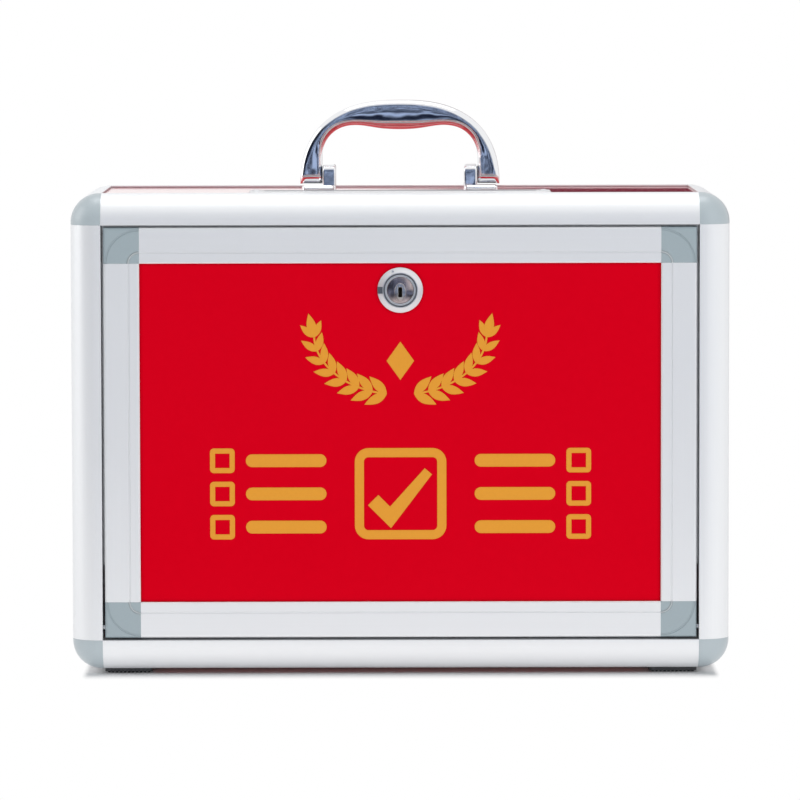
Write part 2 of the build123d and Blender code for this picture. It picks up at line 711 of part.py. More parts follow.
with BuildPart() as lock_housing:
    with BuildSketch(Plane(origin=(0, panel_face, lock_z), x_dir=(1, 0, 0), z_dir=(0, -1, 0))):
        add(barrel_outline)
    extrude(amount=panel_face - barrel_end)
    with BuildSketch(Plane.XY.offset(lock_z)) as ring:
        with BuildLine():
            Polyline((0, panel_face), (0, ring_front), (ring_land_radius, ring_front),
                     (ring_radius, panel_face - ring_rim), (ring_radius, panel_face), close=True)
        make_face()
        with Locations((ring_groove_radius, ring_front)):
            Rectangle(ring_groove_width, 2 * ring_groove_depth, mode=Mode.SUBTRACT)
        with Locations((0, ring_front)):
            Rectangle(plug_face_radius + plug_play, plug_face_sink + plug_face_thickness + plug_play,
                      align=Align.MIN, mode=Mode.SUBTRACT)
        barrel_rim = ring_groove_radius - ring_groove_width / 2
        for corner_x, corner_y in ((ring_land_radius, ring_front), (ring_radius, panel_face - ring_rim),
                                   (barrel_rim, ring_front), (plug_face_radius + plug_play, ring_front)):
            fillet(ring.vertices().sort_by_distance((corner_x, corner_y, lock_z))[0], ring_edge)
    revolve(axis=lock_axis)
    with BuildSketch(Plane.XY.offset(lock_z)):
        with Locations((0, ring_front)):
            Rectangle(plug_face_radius + plug_play, plug_face_sink + plug_face_thickness + plug_play,
                      align=Align.MIN)
            Rectangle(plug_radius + plug_play, barrel_end - ring_front, align=Align.MIN)
    revolve(axis=lock_axis, mode=Mode.SUBTRACT)
    with BuildSketch(Plane(origin=(-ring_radius, ring_front, lock_z), x_dir=(1, 0, 0), z_dir=(0, -1, 0))):
        Rectangle(2 * ring_notch_reach, ring_notch_height)
    extrude(amount=-ring_notch_depth, mode=Mode.SUBTRACT)
    with BuildSketch(Plane(origin=(0, ring_front, lock_z), x_dir=(1, 0, 0), z_dir=(0, -1, 0))):
        with PolarLocations(ring_mark_from_axis, 1, start_angle=ring_mark_angle):
            Circle(ring_mark_radius)
    extrude(amount=-ring_mark_depth, mode=Mode.SUBTRACT)
save(lock_housing, "lock_housing")

with BuildPart() as lock_nut:
    with BuildSketch(Plane(origin=(0, panel_face + panel_thickness, lock_z), x_dir=(1, 0, 0),
                           z_dir=(0, 1, 0))):
        RegularPolygon(lock_nut_flats / 2, 6, major_radius=False)
        Circle(barrel_radius + screw_play, mode=Mode.SUBTRACT)
    extrude(amount=lock_nut_thickness)
save(lock_nut, "lock_nut")

with BuildPart() as lock_plug:
    with BuildSketch(Plane.XY.offset(lock_z)):
        with Locations((0, ring_front + plug_face_sink)):
            Rectangle(plug_face_radius, plug_face_thickness, align=Align.MIN)
            Rectangle(plug_radius, cam_front - ring_front - plug_face_sink, align=Align.MIN)
    revolve(axis=lock_axis)
    with BuildSketch(Plane(origin=(0, ring_front, lock_z), x_dir=(1, 0, 0), z_dir=(0, -1, 0))):
        with Locations((0, -keyhole_drop)):
            Ellipse(boss_half_width, boss_half_height)
    extrude(amount=-(plug_face_sink + plug_face_thickness))
    with BuildSketch(Plane(origin=(0, cam_front, lock_z), x_dir=(1, 0, 0), z_dir=(0, 1, 0))):
        Rectangle(cam_square, cam_square)
    extrude(amount=cam_thickness)
    with BuildSketch(Plane(origin=(0, ring_front, lock_z), x_dir=(1, 0, 0), z_dir=(0, -1, 0))):
        with Locations((0, -keyhole_drop)):
            Rectangle(keyhole_width, keyhole_height)
    extrude(amount=-keyhole_depth, mode=Mode.SUBTRACT)
    with BuildSketch(Plane(origin=(0, cam_front + cam_thickness, lock_z), x_dir=(1, 0, 0),
                           z_dir=(0, 1, 0))):
        Circle(cam_screw_radius + screw_play)
    extrude(amount=-(cam_thickness + cam_screw_bite), mode=Mode.SUBTRACT)
save(lock_plug, "lock_plug")

# The cam lies to the left when the lock is open, and turns up behind the lip to lock.
with BuildPart() as lock_cam:
    with BuildSketch(Plane(origin=(0, cam_front + cam_thickness, lock_z), x_dir=(1, 0, 0),
                           z_dir=(0, -1, 0))):
        with BuildLine():
            CenterArc((0, 0), cam_hub_radius, 0, 360)
            CenterArc((cam_tip_radius - cam_reach, 0), cam_tip_radius, 0, 360)
        make_hull()
        Rectangle(cam_square + 2 * cam_square_play, cam_square + 2 * cam_square_play, mode=Mode.SUBTRACT)
    extrude(amount=cam_thickness)
save(lock_cam, "lock_cam")

with BuildPart() as cam_screw:
    with BuildSketch(Plane(origin=(0, cam_front + cam_thickness, lock_z), x_dir=(1, 0, 0),
                           z_dir=(0, 1, 0))) as head:
        Circle(cam_screw_head_radius)
    extrude(amount=cam_screw_head)
    with BuildSketch(head.workplanes[0]):
        Circle(cam_screw_radius)
    extrude(amount=-(cam_thickness + cam_screw_bite - screw_play))
save(cam_screw, "cam_screw")
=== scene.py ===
"""Looks of the portable ballot box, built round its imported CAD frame.

Laid out as an add-on and run as a script. Every length in the geometry is in metres, in the
frame of the CAD: +Z up, the door faces -Y, and the origin is on the table under the box.
"""

import json
import math

import bmesh
import bpy
import numpy as np
from mathutils import Matrix, Vector


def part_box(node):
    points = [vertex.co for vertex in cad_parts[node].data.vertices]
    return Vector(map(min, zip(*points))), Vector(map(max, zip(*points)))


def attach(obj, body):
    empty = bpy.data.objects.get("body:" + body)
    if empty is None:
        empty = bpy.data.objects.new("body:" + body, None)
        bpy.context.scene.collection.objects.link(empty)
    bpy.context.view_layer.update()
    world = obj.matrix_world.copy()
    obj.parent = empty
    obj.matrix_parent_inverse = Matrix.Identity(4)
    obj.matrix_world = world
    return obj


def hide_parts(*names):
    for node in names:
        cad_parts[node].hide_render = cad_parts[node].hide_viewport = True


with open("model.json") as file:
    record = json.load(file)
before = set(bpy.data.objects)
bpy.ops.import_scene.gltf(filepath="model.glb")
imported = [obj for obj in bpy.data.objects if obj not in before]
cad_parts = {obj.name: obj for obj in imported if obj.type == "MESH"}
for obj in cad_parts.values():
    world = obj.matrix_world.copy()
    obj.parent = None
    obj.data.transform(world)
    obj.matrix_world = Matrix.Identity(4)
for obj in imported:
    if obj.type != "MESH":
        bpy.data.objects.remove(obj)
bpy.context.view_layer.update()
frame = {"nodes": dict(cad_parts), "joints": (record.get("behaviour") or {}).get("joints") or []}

bl_info = {
    "name": "Ballot Box Looks",
    "version": (1, 0, 0),
    "blender": (4, 5, 0),
    "location": "View3D > Sidebar > Ballot Box",
    "description": "Finishes, fasteners, printed artwork and studio for a portable ballot box",
    "category": "Object",
}

MM = 0.001
WHITE, BLACK = (1, 1, 1, 1), (0, 0, 0, 1)

# Places that the frame gives
door_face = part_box("door_panel")[0].y
lock_low, lock_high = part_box("lock_plug")
lock_middle = (lock_low + lock_high) / 2
panel_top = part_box("top_panel")[1].z
handle_low, handle_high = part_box("handle")
handle_pivot = next(j for j in frame["joints"] if j["name"] == "handle_fold")["pos_m"]

# Marks on the lock's front, measured from its axis: painted shade in the ring's groove and notch, painted
# highlights on the plug's rim and boss
groove_inner, groove_outer = 8.35 * MM, 9.25 * MM
notch_start, notch_half_height = 9.5 * MM, 1.95 * MM
rim_inner, rim_soft = 7.2 * MM, 0.3 * MM
boss_half_width, boss_half_height, boss_drop = 3.1 * MM, 4.6 * MM, 0.6 * MM
mark_soft = 0.15 * MM

# Bead round the inner corner of each door corner piece
bead_radius, bead_half_width, bead_height = 6 * MM, 0.9 * MM, 0.8 * MM

# How far the painted shade under a rail reaches onto the panel that it holds
shade_reach = 2.2 * MM


# Settings


def metres(name, description, default):
    """A length that shows as such in the panel."""
    return bpy.props.FloatProperty(name=name, description=description, default=default,
                                   subtype="DISTANCE", unit="LENGTH", precision=5)


def colour(name, description, default):
    """A linear colour without alpha."""
    return bpy.props.FloatVectorProperty(name=name, description=description, default=default,
                                         subtype="COLOR", size=3, min=0, max=1)


def level(name, description, default, high=1.0):
    """A plain number from nothing to a given top."""
    return bpy.props.FloatProperty(name=name, description=description, default=default,
                                   min=0, max=high)


class FinishSettings(bpy.types.PropertyGroup):
    """Colours and gloss of the box's surfaces."""

    aluminium: colour("Aluminium", "Anodised rails and door frame", (0.85, 0.865, 0.885))
    aluminium_gloss: level("Aluminium roughness", "Middle roughness of the rails", 0.42)
    plastic: colour("Door corner plastic", "Moulded corners of the door", (0.335, 0.405, 0.44))
    # A lighter copy of the door corners' plastic: painted light that the ball corners catch
    ball_plastic_painted_light: colour("Ball corner plastic", "Moulded ball corners of the frame", (0.415, 0.48, 0.515))
    red: colour("Red", "Laminate of the walls and the door", (0.64, 0.0, 0.010))
    # The wafers' near-black colour is painted shade in the keyway
    keyway_shade_tone: colour("Brass", "Wafers in the keyway, dark with grease", (0.02, 0.016, 0.010))
    gold: colour("Gold", "Printed artwork", (0.74, 0.31, 0.022))
    chrome: colour("Chrome", "Handle and its lugs", (0.86, 0.865, 0.88))
    chrome_gloss: level("Chrome roughness", "Middle roughness of the chrome", 0.06)
    plug: colour("Plug", "Warm, darkened nickel of the lock's plug", (0.50, 0.42, 0.42))
    steel: colour("Steel", "Screws, nuts, pins and cam", (0.60, 0.61, 0.63))
    feet: colour("Feet", "Foot plastic", (0.045, 0.046, 0.050))


class HandleSettings(bpy.types.PropertyGroup):
    """Shape of the cast handle, in the box that the CAD handle fills."""

    leg: metres("Leg", "Width of a leg seen from the front", 12.2 * MM)
    leg_depth: metres("Leg depth", "Depth of a leg at its pin", 10 * MM)
    grip_depth: metres("Grip depth", "Depth of the grip at its top", 15.6 * MM)
    arch: metres("Gap arch", "Height of the finger gap's highest stretches", 36.4 * MM)
    belly: metres("Gap belly", "Height of the finger gap at its middle", 34 * MM)
    outer_round: metres("Outer round", "Edge round along the outside of the arch", 4 * MM)
    bevel_share: level("Bevel", "Height of the sloped face along the finger gap over half the depth", 0.42)
    belly_bevel: level("Belly bevel", "How much more of that there is at the belly", 0.2)
    crown: metres("Crown", "How far the front and back faces bulge", 0.35 * MM)


class ArtworkSettings(bpy.types.PropertyGroup):
    """The generic gold print on the door."""

    film: metres("Film", "Thickness of the printed film", 0.1 * MM)
    spray_drop: metres("Spray drop", "Middle of the leaf sprays below the lock's axis", 40.6 * MM)
    spray_half: metres("Spray half width", "From the middle to a spray's tip", 47 * MM)
    spray_height: metres("Spray height", "Height of the sprays' line", 33 * MM)
    leaf: metres("Leaf", "Length of a leaf", 13.5 * MM)
    leaf_width: metres("Leaf width", "Widest part of a leaf", 5.2 * MM)
    leaf_count: bpy.props.IntProperty(name="Leaf pairs", description="Pairs of leaves on a spray",
                                      default=8, min=3, max=20)
    leaf_spread: bpy.props.FloatProperty(name="Leaf spread", description="Angle of a leaf from the stem",
                                         default=math.radians(35.5), min=0, max=1.5, subtype="ANGLE")
    rows_drop: metres("Rows drop", "Middle of the ballot rows below the lock's axis", 111.3 * MM)
    rows_pitch: metres("Rows pitch", "From one ballot row to the next", 18.2 * MM)
    row_count: bpy.props.IntProperty(name="Rows", description="Ballot rows on each side",
                                     default=3, min=1, max=8)
    row_box: metres("Row square", "Outer side of a row's small square", 13.5 * MM)
    row_box_line: metres("Row square line", "Line width of a row's small square", 2.8 * MM)
    row_bar: metres("Row bar", "Length of a row's bar", 44 * MM)
    row_bar_height: metres("Row bar height", "Height of a row's bar", 7 * MM)
    rows_edge: metres("Rows edge", "From the middle to the rows' outer edge", 104 * MM)
    square: metres("Tick square", "Outer side of the large square", 50 * MM)
    square_line: metres("Tick square line", "Line width of the large square", 5 * MM)
    tick_stroke: metres("Tick stroke", "Width of the tick's strokes", 8 * MM)
    diamond_width: metres("Diamond width", "Width of the diamond between the sprays", 15 * MM)
    diamond_height: metres("Diamond height", "Height of the diamond", 21 * MM)
    diamond_lift: metres("Diamond lift", "Middle of the diamond above the sprays' middle", 2 * MM)


class FastenerSettings(bpy.types.PropertyGroup):
    """Sizes of the rivets, screws and nuts, and of the lock's wafers."""

    rivet_radius: metres("Rivet radius", "Shank of the bezel's rivets", 1.6 * MM)
    rivet_head: metres("Rivet head", "Radius of a rivet's heads", 2.6 * MM)
    rivet_dome: metres("Rivet dome", "Height of a rivet's heads", 0.7 * MM)
    screw_radius: metres("Screw radius", "Shank of the machine screws", 1.5 * MM)
    screw_head: metres("Screw head", "Radius of the screws' heads", 2.8 * MM)
    lug_head: metres("Lug screw head", "Height of the lug screws' heads", 2 * MM)
    foot_head: metres("Foot screw head", "Height of the foot screws' heads", 1.6 * MM)
    nut_flats: metres("Nut flats", "Width across the flats of the feet's nuts", 5.5 * MM)
    wafer_width: metres("Wafer width", "Width of a wafer in the keyway", 2.1 * MM)
    wafer_height: metres("Wafer height", "Height of a wafer in the keyway", 5.4 * MM)
    keyway_drop: metres("Keyway drop", "Middle of the keyway below the lock's axis", 1.1 * MM)


class StageSettings(bpy.types.PropertyGroup):
    """Studio: the lamps, and how light and how patchy the surroundings are."""

    ambient: level("Ambient", "Level of the surroundings' light", 0.42, 4)
    top_power: level("Top lamp", "Power of the soft lamp above, in watts", 7, 1000)
    left_power: level("Left lamp", "Power of the soft lamp at the left, in watts", 7.5, 1000)
    right_power: level("Right lamp", "Power of the soft lamp at the right, in watts", 8.5, 1000)
    front_power: level("Front lamp", "Power of the lamp behind the camera, in watts", 31.5, 1000)
    dim: colour("Dim side", "Darker part of what gloss sees at the camera's side", (0.010, 0.014, 0.032))
    glow: colour("Dim side's glow", "Lighter part of it", (0.42, 0.53, 0.78))


SETTINGS = {"ballot_finish": FinishSettings, "ballot_handle": HandleSettings,
            "ballot_fasteners": FastenerSettings, "ballot_artwork": ArtworkSettings,
            "ballot_stage": StageSettings}


# Node helpers


class Graph:
    """A node tree with short calls that add a node and join it to others."""

    def __init__(self, tree):
        self.tree = tree

    def add(self, kind, inputs=None, **settings):
        """A new node, with its settings, and its inputs set or joined by name or number."""
        node = self.tree.nodes.new(kind)
        for key, value in settings.items():
            setattr(node, key, value)
        for key, value in (inputs or {}).items():
            if isinstance(value, bpy.types.NodeSocket):
                self.tree.links.new(value, node.inputs[key])
            else:
                node.inputs[key].default_value = value
        return node

    def join(self, source, target):
        """A link from an output to an input."""
        self.tree.links.new(source, target)

    def maths(self, operation, a, b=0.0):
        """The result of one Math node."""
        return self.add("ShaderNodeMath", {0: a, 1: b}, operation=operation).outputs[0]

    def times(self, a, b):
        """The product of two values."""
        return self.maths("MULTIPLY", a, b)

    def less(self, a, b):
        """One value less another."""
        return self.maths("SUBTRACT", a, b)

    def unsigned(self, value):
        """A value without its sign."""
        return self.maths("ABSOLUTE", value)

    def split(self, vector):
        """The three parts of a vector."""
        return self.add("ShaderNodeSeparateXYZ", {0: vector}).outputs

    def toward(self, direction, aim):
        """How nearly a direction points along another, given in any length."""
        given = {0: direction, 1: Vector(aim).normalized()}
        return self.add("ShaderNodeVectorMath", given, operation="DOT_PRODUCT").outputs["Value"]

    def remap(self, value, low, high, from_low=0.0, from_high=1.0):
        """A value spread from one range to another."""
        given = {"Value": value, "From Min": from_low, "From Max": from_high,
                 "To Min": low, "To Max": high}
        return self.add("ShaderNodeMapRange", given).outputs["Result"]

    def distance(self, a, b):
        """The length of two sides at a right angle."""
        squares = self.maths("ADD", self.maths("POWER", a, 2.0), self.maths("POWER", b, 2.0))
        return self.maths("SQRT", squares)

    def fade(self, value, start, end, low=0.0, high=1.0):
        """A soft change from one level to another between two values."""
        given = {"Value": value, "From Min": start, "From Max": end, "To Min": low, "To Max": high}
        return self.add("ShaderNodeMapRange", given, interpolation_type="SMOOTHSTEP").outputs["Result"]

    def blend(self, factor, first, second):
        """A mix of two colours."""
        return self.add("ShaderNodeMix", {0: factor, 6: first, 7: second}, data_type="RGBA").outputs[2]


def rgba(rgb, gain=1.0):
    """A colour with full alpha, made lighter or darker."""
    return (*(min(1.0, c * gain) for c in rgb), 1.0)


# Finishes


def finish(name, base, shade, roughness, grain, relief, metallic=0.0, edge=0.25 * MM, detail=4.0,
           cloud=14.0, spread=0.06, recolour=None, raised=None, raised_highlight=0.25, **shader):
    """A procedural finish. Grain shifts colour, gloss and surface, clouds shift the gloss over a larger
    scale, and edges are softened. grain is in cycles per metre along X, Y and Z. recolour paints shade or
    highlights by place. raised gives a relief by place, with a painted highlight on it lighter by the share
    raised_highlight."""
    material = bpy.data.materials.new(name)
    material.use_nodes = True
    graph = Graph(material.node_tree)
    skin = material.node_tree.nodes["Principled BSDF"]
    place = graph.add("ShaderNodeTexCoord").outputs["Object"]
    stretched = graph.add("ShaderNodeMapping", {"Vector": place, "Scale": grain}).outputs[0]
    fine = graph.add("ShaderNodeTexNoise",
                     {"Vector": stretched, "Scale": 1.0, "Detail": detail, "Roughness": 0.6}).outputs[0]
    clouds = graph.add("ShaderNodeTexNoise",
                       {"Vector": place, "Scale": cloud, "Detail": 3.0, "Roughness": 0.5}).outputs[0]
    both = graph.maths("ADD", graph.times(fine, 0.5), graph.times(clouds, 0.5))
    tone = graph.blend(fine, base, shade)
    height = raised(graph, place) if raised else None
    # Painted highlight: a raised part is made lighter, as where its ridge catches the light
    if raised:
        tone = graph.blend(graph.times(height, raised_highlight), tone, WHITE)
    graph.join(recolour(graph, place, tone) if recolour else tone, skin.inputs["Base Color"])
    graph.join(graph.remap(both, roughness - spread, roughness + spread, 0.3, 0.7),
               skin.inputs["Roughness"])
    soft = graph.add("ShaderNodeBevel", {"Radius": edge}, samples=4).outputs[0]
    if raised:
        soft = graph.add("ShaderNodeBump", {"Strength": 1.0, "Distance": bead_height, "Height": height,
                                            "Normal": soft}).outputs[0]
    bump = graph.add("ShaderNodeBump",
                     {"Strength": 1.0, "Distance": relief, "Height": fine, "Normal": soft})
    graph.join(bump.outputs[0], skin.inputs["Normal"])
    skin.inputs["Metallic"].default_value = metallic
    for key, value in shader.items():
        skin.inputs[key.replace("_", " ").title().replace("Ior", "IOR")].default_value = value
    return material


def about_lock(graph, place):
    """A place's way across and up from the lock's axis, and its distance from it."""
    x, _, z = graph.split(place)
    across, up = graph.less(x, lock_middle.x), graph.less(z, lock_middle.z)
    return across, up, graph.distance(across, up)


def painted_recess_shade(graph, place, tone):
    """A recolouring that paints shade into the lock ring's groove and notch."""
    across, up, from_axis = about_lock(graph, place)
    groove = graph.times(graph.fade(from_axis, groove_inner, groove_inner + mark_soft),
                         graph.fade(from_axis, groove_outer, groove_outer - mark_soft))
    notch = graph.times(graph.fade(across, -notch_start, -notch_start - mark_soft),
                        graph.fade(graph.unsigned(up), notch_half_height, notch_half_height - mark_soft))
    return graph.blend(graph.times(graph.maths("MAXIMUM", groove, notch), 0.62), tone, BLACK)


def painted_rim_highlight(graph, place, tone):
    """A recolouring that paints highlights on the plug's rim and on the oval boss round the keyway."""
    across, up, from_axis = about_lock(graph, place)
    rim = graph.fade(from_axis, rim_inner, rim_inner + rim_soft)
    across = graph.maths("DIVIDE", across, boss_half_width)
    up = graph.maths("DIVIDE", graph.maths("ADD", up, boss_drop), boss_half_height)
    boss = graph.fade(graph.distance(across, up), 1.05, 0.85)
    # Painted highlight on the rim and the boss, in warm white
    painted_highlight = graph.times(graph.maths("MAXIMUM", rim, boss), 0.85)
    return graph.blend(painted_highlight, tone, (1.0, 0.93, 0.86, 1))


def plug_dome(graph, place):
    """The slight dome of the plug's face."""
    share = graph.maths("DIVIDE", about_lock(graph, place)[2], (lock_high.x - lock_low.x) / 2)
    return graph.times(graph.maths("POWER", share, 2.0), -1.6)


def painted_edge_shade(graph, place, tone):
    """A recolouring that paints shade on a panel's edge under the rail that holds it."""
    given = {"Color": tone, "Distance": shade_reach}
    return graph.add("ShaderNodeAmbientOcclusion", given, samples=4).outputs["Color"]


def corner_bead(graph, place):
    """A moulded bead round the inner corner of each door corner, as a bump and a painted highlight."""
    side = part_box("door_right_rail")[0].x
    upper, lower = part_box("door_top_rail")[0].z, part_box("door_bottom_rail")[1].z
    x, _, z = graph.split(place)
    from_middle = graph.unsigned(graph.less(z, (upper + lower) / 2))
    along, up = graph.less(graph.unsigned(x), side), graph.less(from_middle, (upper - lower) / 2)
    off = graph.unsigned(graph.less(graph.distance(along, up), bead_radius))
    return graph.fade(off, bead_half_width, 0.0)


def anodised(settings, axis):
    """Extruded and anodised aluminium, with fine lines along one axis."""
    across, along = 1100.0, 6.0
    grain = tuple(along if axis == i else across for i in range(3))
    dark, light = rgba(settings.aluminium, 0.985), rgba(settings.aluminium, 1.02)
    return finish(f"anodised_{'xyz'[axis]}", dark, light, settings.aluminium_gloss, grain, 0.006 * MM,
                  metallic=0.34, spread=0.05, edge=0.4 * MM)


def moulded(name, tone, gloss, coat=0.0, raised=None):
    """Moulded plastic with a fine eroded grain, and a smoother skin over it where it is coated."""
    return finish(name, rgba(tone, 0.96), rgba(tone, 1.05), gloss, (1500.0,) * 3, 0.01 * MM, cloud=30.0,
                  edge=0.45 * MM, raised=raised, ior=1.49, coat_weight=coat, coat_roughness=0.34)


def laminate(settings, name, tint, gloss, coat=0.0):
    """Glossy red laminate with a slight orange peel, and a clear film over it where it is coated."""
    return finish(name, rgba(settings.red, 0.98), rgba(settings.red, 1.03), 0.16,
                  (260.0,) * 3, 0.004 * MM, detail=2.0, cloud=9.0, spread=0.035, edge=0.15 * MM,
                  recolour=painted_edge_shade, ior=1.5, specular_ior_level=gloss, specular_tint=tint,
                  coat_weight=coat, coat_roughness=0.05)


def printed(settings):
    """Satin gold ink, a little uneven as a screen print is."""
    return finish("gold_print", rgba(settings.gold, 0.96), rgba(settings.gold, 1.05), 0.42,
                  (700.0,) * 3, 0.003 * MM, cloud=60.0, edge=0.05 * MM, ior=1.45)


def plated(name, tone, gloss, grain=90.0, relief=0.004 * MM, edge=0.5 * MM, spread=0.02,
           recolour=None):
    """Bright plating on cast metal, with the waviness that polishing leaves."""
    return finish(name, rgba(tone, 0.99), rgba(tone, 1.01), gloss, (grain,) * 3, relief,
                  metallic=1.0, detail=1.0, cloud=40.0, spread=spread, edge=edge, recolour=recolour)


def turned(settings):
    """The lock plug's face, darker and finely turned, with painted highlights on its rim and on the boss
    round the keyway.
    """
    return finish("turned_nickel", rgba(settings.plug, 0.3), rgba(settings.plug, 1.5), 0.2,
                  (380.0, 380.0, 120.0), 0.10 * MM, metallic=1.0, edge=0.45 * MM, spread=0.1, detail=2.0,
                  recolour=painted_rim_highlight, raised=plug_dome, raised_highlight=0.0)


def zinc(settings):
    """Zinc plating, slightly blotched."""
    return finish("zinc_steel", rgba(settings.steel, 0.9), rgba(settings.steel, 1.12), 0.34,
                  (600.0,) * 3, 0.006 * MM, metallic=1.0, cloud=120.0, edge=0.2 * MM)


def brushed(settings):
    """The bezel's aluminium, duller and brushed along its length."""
    return finish("bezel_metal", rgba(settings.aluminium, 0.73), rgba(settings.aluminium, 0.79), 0.5,
                  (5.0, 1600.0, 1600.0), 0.006 * MM, metallic=0.45, edge=0.2 * MM)


def make_finishes(settings):
    """All of the box's finishes by name."""
    made = {f"anodised_{'xyz'[axis]}": anodised(settings, axis) for axis in range(3)}
    made["corner_plastic"] = moulded("corner_plastic", settings.plastic, 0.34, raised=corner_bead)
    # The ball corners' lighter tone is painted light, over the same plastic as the door corners
    made["ball_plastic_painted_light"] = moulded("ball_plastic_painted_light", settings.ball_plastic_painted_light, 0.42, coat=0.8)
    made["foot_plastic"] = moulded("foot_plastic", settings.feet, 0.62)
    made["red_laminate"] = laminate(settings, "red_laminate", (0.9, 0.06, 0.10, 1), 0.35)
    made["top_laminate"] = laminate(settings, "top_laminate", (1, 0.92, 0.92, 1), 0.5, coat=0.8)
    made["gold_print"] = printed(settings)
    made["bright_chrome"] = plated("bright_chrome", settings.chrome, settings.chrome_gloss,
                                   grain=65.0, relief=0.32 * MM)
    # The ring's groove and notch get painted shade
    made["nickel_ring"] = plated("nickel_ring", settings.chrome, 0.46, grain=500.0, edge=0.3 * MM,
                                 recolour=painted_recess_shade)
    made["bezel_metal"] = brushed(settings)
    made["turned_nickel"] = turned(settings)
    made["zinc_steel"] = zinc(settings)
    made["keyway_shade_brass"] = plated("keyway_shade_brass", settings.keyway_shade_tone, 0.5, grain=400.0, edge=0.1 * MM)
    return made


def finish_of(node):
    """The name of the finish of a CAD node."""
    if node.endswith("_rail"):
        lengthwise = node.startswith(("front", "back", "door_top", "door_bottom"))
        upright = node in ("door_left_rail", "door_right_rail")
        return "anodised_z" if upright else "anodised_x" if lengthwise else "anodised_y"
    if node.endswith("_post"):
        return "anodised_z"
    if "corner" in node:
        return "corner_plastic" if node.startswith("door") else "ball_plastic_painted_light"
    if node.endswith("_panel"):
        return "top_laminate" if node == "top_panel" else "red_laminate"
    if node.startswith("foot_") and node not in ("foot_screws", "foot_nuts"):
        return "foot_plastic"
    if node == "handle" or node.startswith("handle_lug"):
        return "bright_chrome"
    named = {"slot_bezel": "bezel_metal", "lock_housing": "nickel_ring", "lock_plug": "turned_nickel"}
    return named.get(node, "zinc_steel")


# Mesh helpers


def clean(mesh, merge=0.002 * MM):
    """Merge doubles and turn every face outwards."""
    shape = bmesh.new()
    shape.from_mesh(mesh)
    bmesh.ops.remove_doubles(shape, verts=shape.verts, dist=merge)
    bmesh.ops.dissolve_degenerate(shape, edges=shape.edges, dist=merge / 4)
    bmesh.ops.recalc_face_normals(shape, faces=shape.faces)
    shape.to_mesh(mesh)
    shape.free()


def to_mesh(shape, name):
    """The mesh of a finished shape."""
    mesh = bpy.data.meshes.new(name)
    shape.to_mesh(mesh)
    shape.free()
    return mesh


def in_scene(name, data):
    """A new object in the scene."""
    made = bpy.data.objects.new(name, data)
    bpy.context.scene.collection.objects.link(made)
    return made


def piece(name, mesh, body, material, replaces=(), smooth=None):
    """A finished piece at the origin, riding on its body."""
    mesh.name = name
    mesh.materials.clear()
    mesh.materials.append(material)
    made = in_scene(name, mesh)
    if smooth is None:
        mesh.shade_flat()
    else:
        mesh.shade_smooth()
        mesh.set_sharp_from_angle(angle=smooth)
    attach(made, body)
    if replaces:
        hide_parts(*replaces)
    return made


def skin(shape, rings):
    """Faces from each ring of vertices to the next. A ring may be a single vertex."""
    count = max(len(ring) for ring in rings)
    for first, second in zip(rings, rings[1:]):
        for i in range(count):
            j = (i + 1) % count
            corners = (first[i % len(first)], first[j % len(first)],
                       second[j % len(second)], second[i % len(second)])
            shape.faces.new(list(dict.fromkeys(corners)))


def lathe(outline, segments):
    """A closed turned mesh about Z from an outline of (radius, height) points, both ends on the axis."""
    shape = bmesh.new()
    rings = []
    for radius, height in outline:
        if radius == 0:
            rings.append([shape.verts.new((0, 0, height))])
            continue
        turns = (2 * math.pi * i / segments for i in range(segments))
        rings.append([shape.verts.new((radius * math.cos(a), radius * math.sin(a), height)) for a in turns])
    skin(shape, rings)
    mesh = to_mesh(shape, "turned")
    clean(mesh)
    return mesh


def arc(middle, radius, start, sweep, count):
    """Points on an arc of an outline."""
    steps = (start + sweep * i / count for i in range(count + 1))
    return [(middle[0] + radius * math.cos(a), middle[1] + radius * math.sin(a)) for a in steps]


def smooth_curve(points, start, end, count):
    """Points along a curve with even curvature through the given ones, with unit end directions."""
    p = np.array(points, float)
    gaps = np.linalg.norm(np.diff(p, axis=0), axis=1)
    size = len(p)
    left = np.zeros((size, size))
    right = np.zeros((size, 2))
    left[0, 0] = left[-1, -1] = 1.0
    right[0], right[-1] = start, end
    for i in range(1, size - 1):
        before, after = gaps[i - 1], gaps[i]
        left[i, i - 1:i + 2] = after, 2 * (before + after), before
        right[i] = 3 * (after / before * (p[i] - p[i - 1]) + before / after * (p[i + 1] - p[i]))
    slopes = np.linalg.solve(left, right)
    lengths = np.concatenate([[0], np.cumsum(gaps)])
    out = []
    for s in np.linspace(0, lengths[-1], count):
        i = min(int(np.searchsorted(lengths, s, side="right")) - 1, size - 2)
        h = gaps[i]
        t = (s - lengths[i]) / h
        out.append((2 * t ** 3 - 3 * t ** 2 + 1) * p[i] + (t ** 3 - 2 * t ** 2 + t) * h * slopes[i]
                   + (3 * t ** 2 - 2 * t ** 3) * p[i + 1] + (t ** 3 - t ** 2) * h * slopes[i + 1])
    return np.array(out)


# Geometry Nodes helpers


def new_tree(name, **sizes):
    """A Geometry Nodes tree with named inputs for its sizes, given by their kind, and its group
    input and output."""
    tree = bpy.data.node_groups.new(name, "GeometryNodeTree")
    tree.interface.new_socket("Geometry", in_out="INPUT", socket_type="NodeSocketGeometry")
    for kind, labels in {**sizes, "Material": ("Material",)}.items():
        for label in labels:
            tree.interface.new_socket(label, in_out="INPUT", socket_type=f"NodeSocket{kind}")
    tree.interface.new_socket("Geometry", in_out="OUTPUT", socket_type="NodeSocketGeometry")
    graph = Graph(tree)
    given = graph.add("NodeGroupInput").outputs
    result = graph.add("NodeGroupOutput").inputs["Geometry"]
    return graph, given, result


def deliver(graph, given, geometry, result):
    """The end of every tree: real geometry with its material."""
    real = graph.add("GeometryNodeRealizeInstances", {"Geometry": geometry}).outputs[0]
    painted = graph.add("GeometryNodeSetMaterial", {"Geometry": real, "Material": given["Material"]})
    graph.join(painted.outputs[0], result)


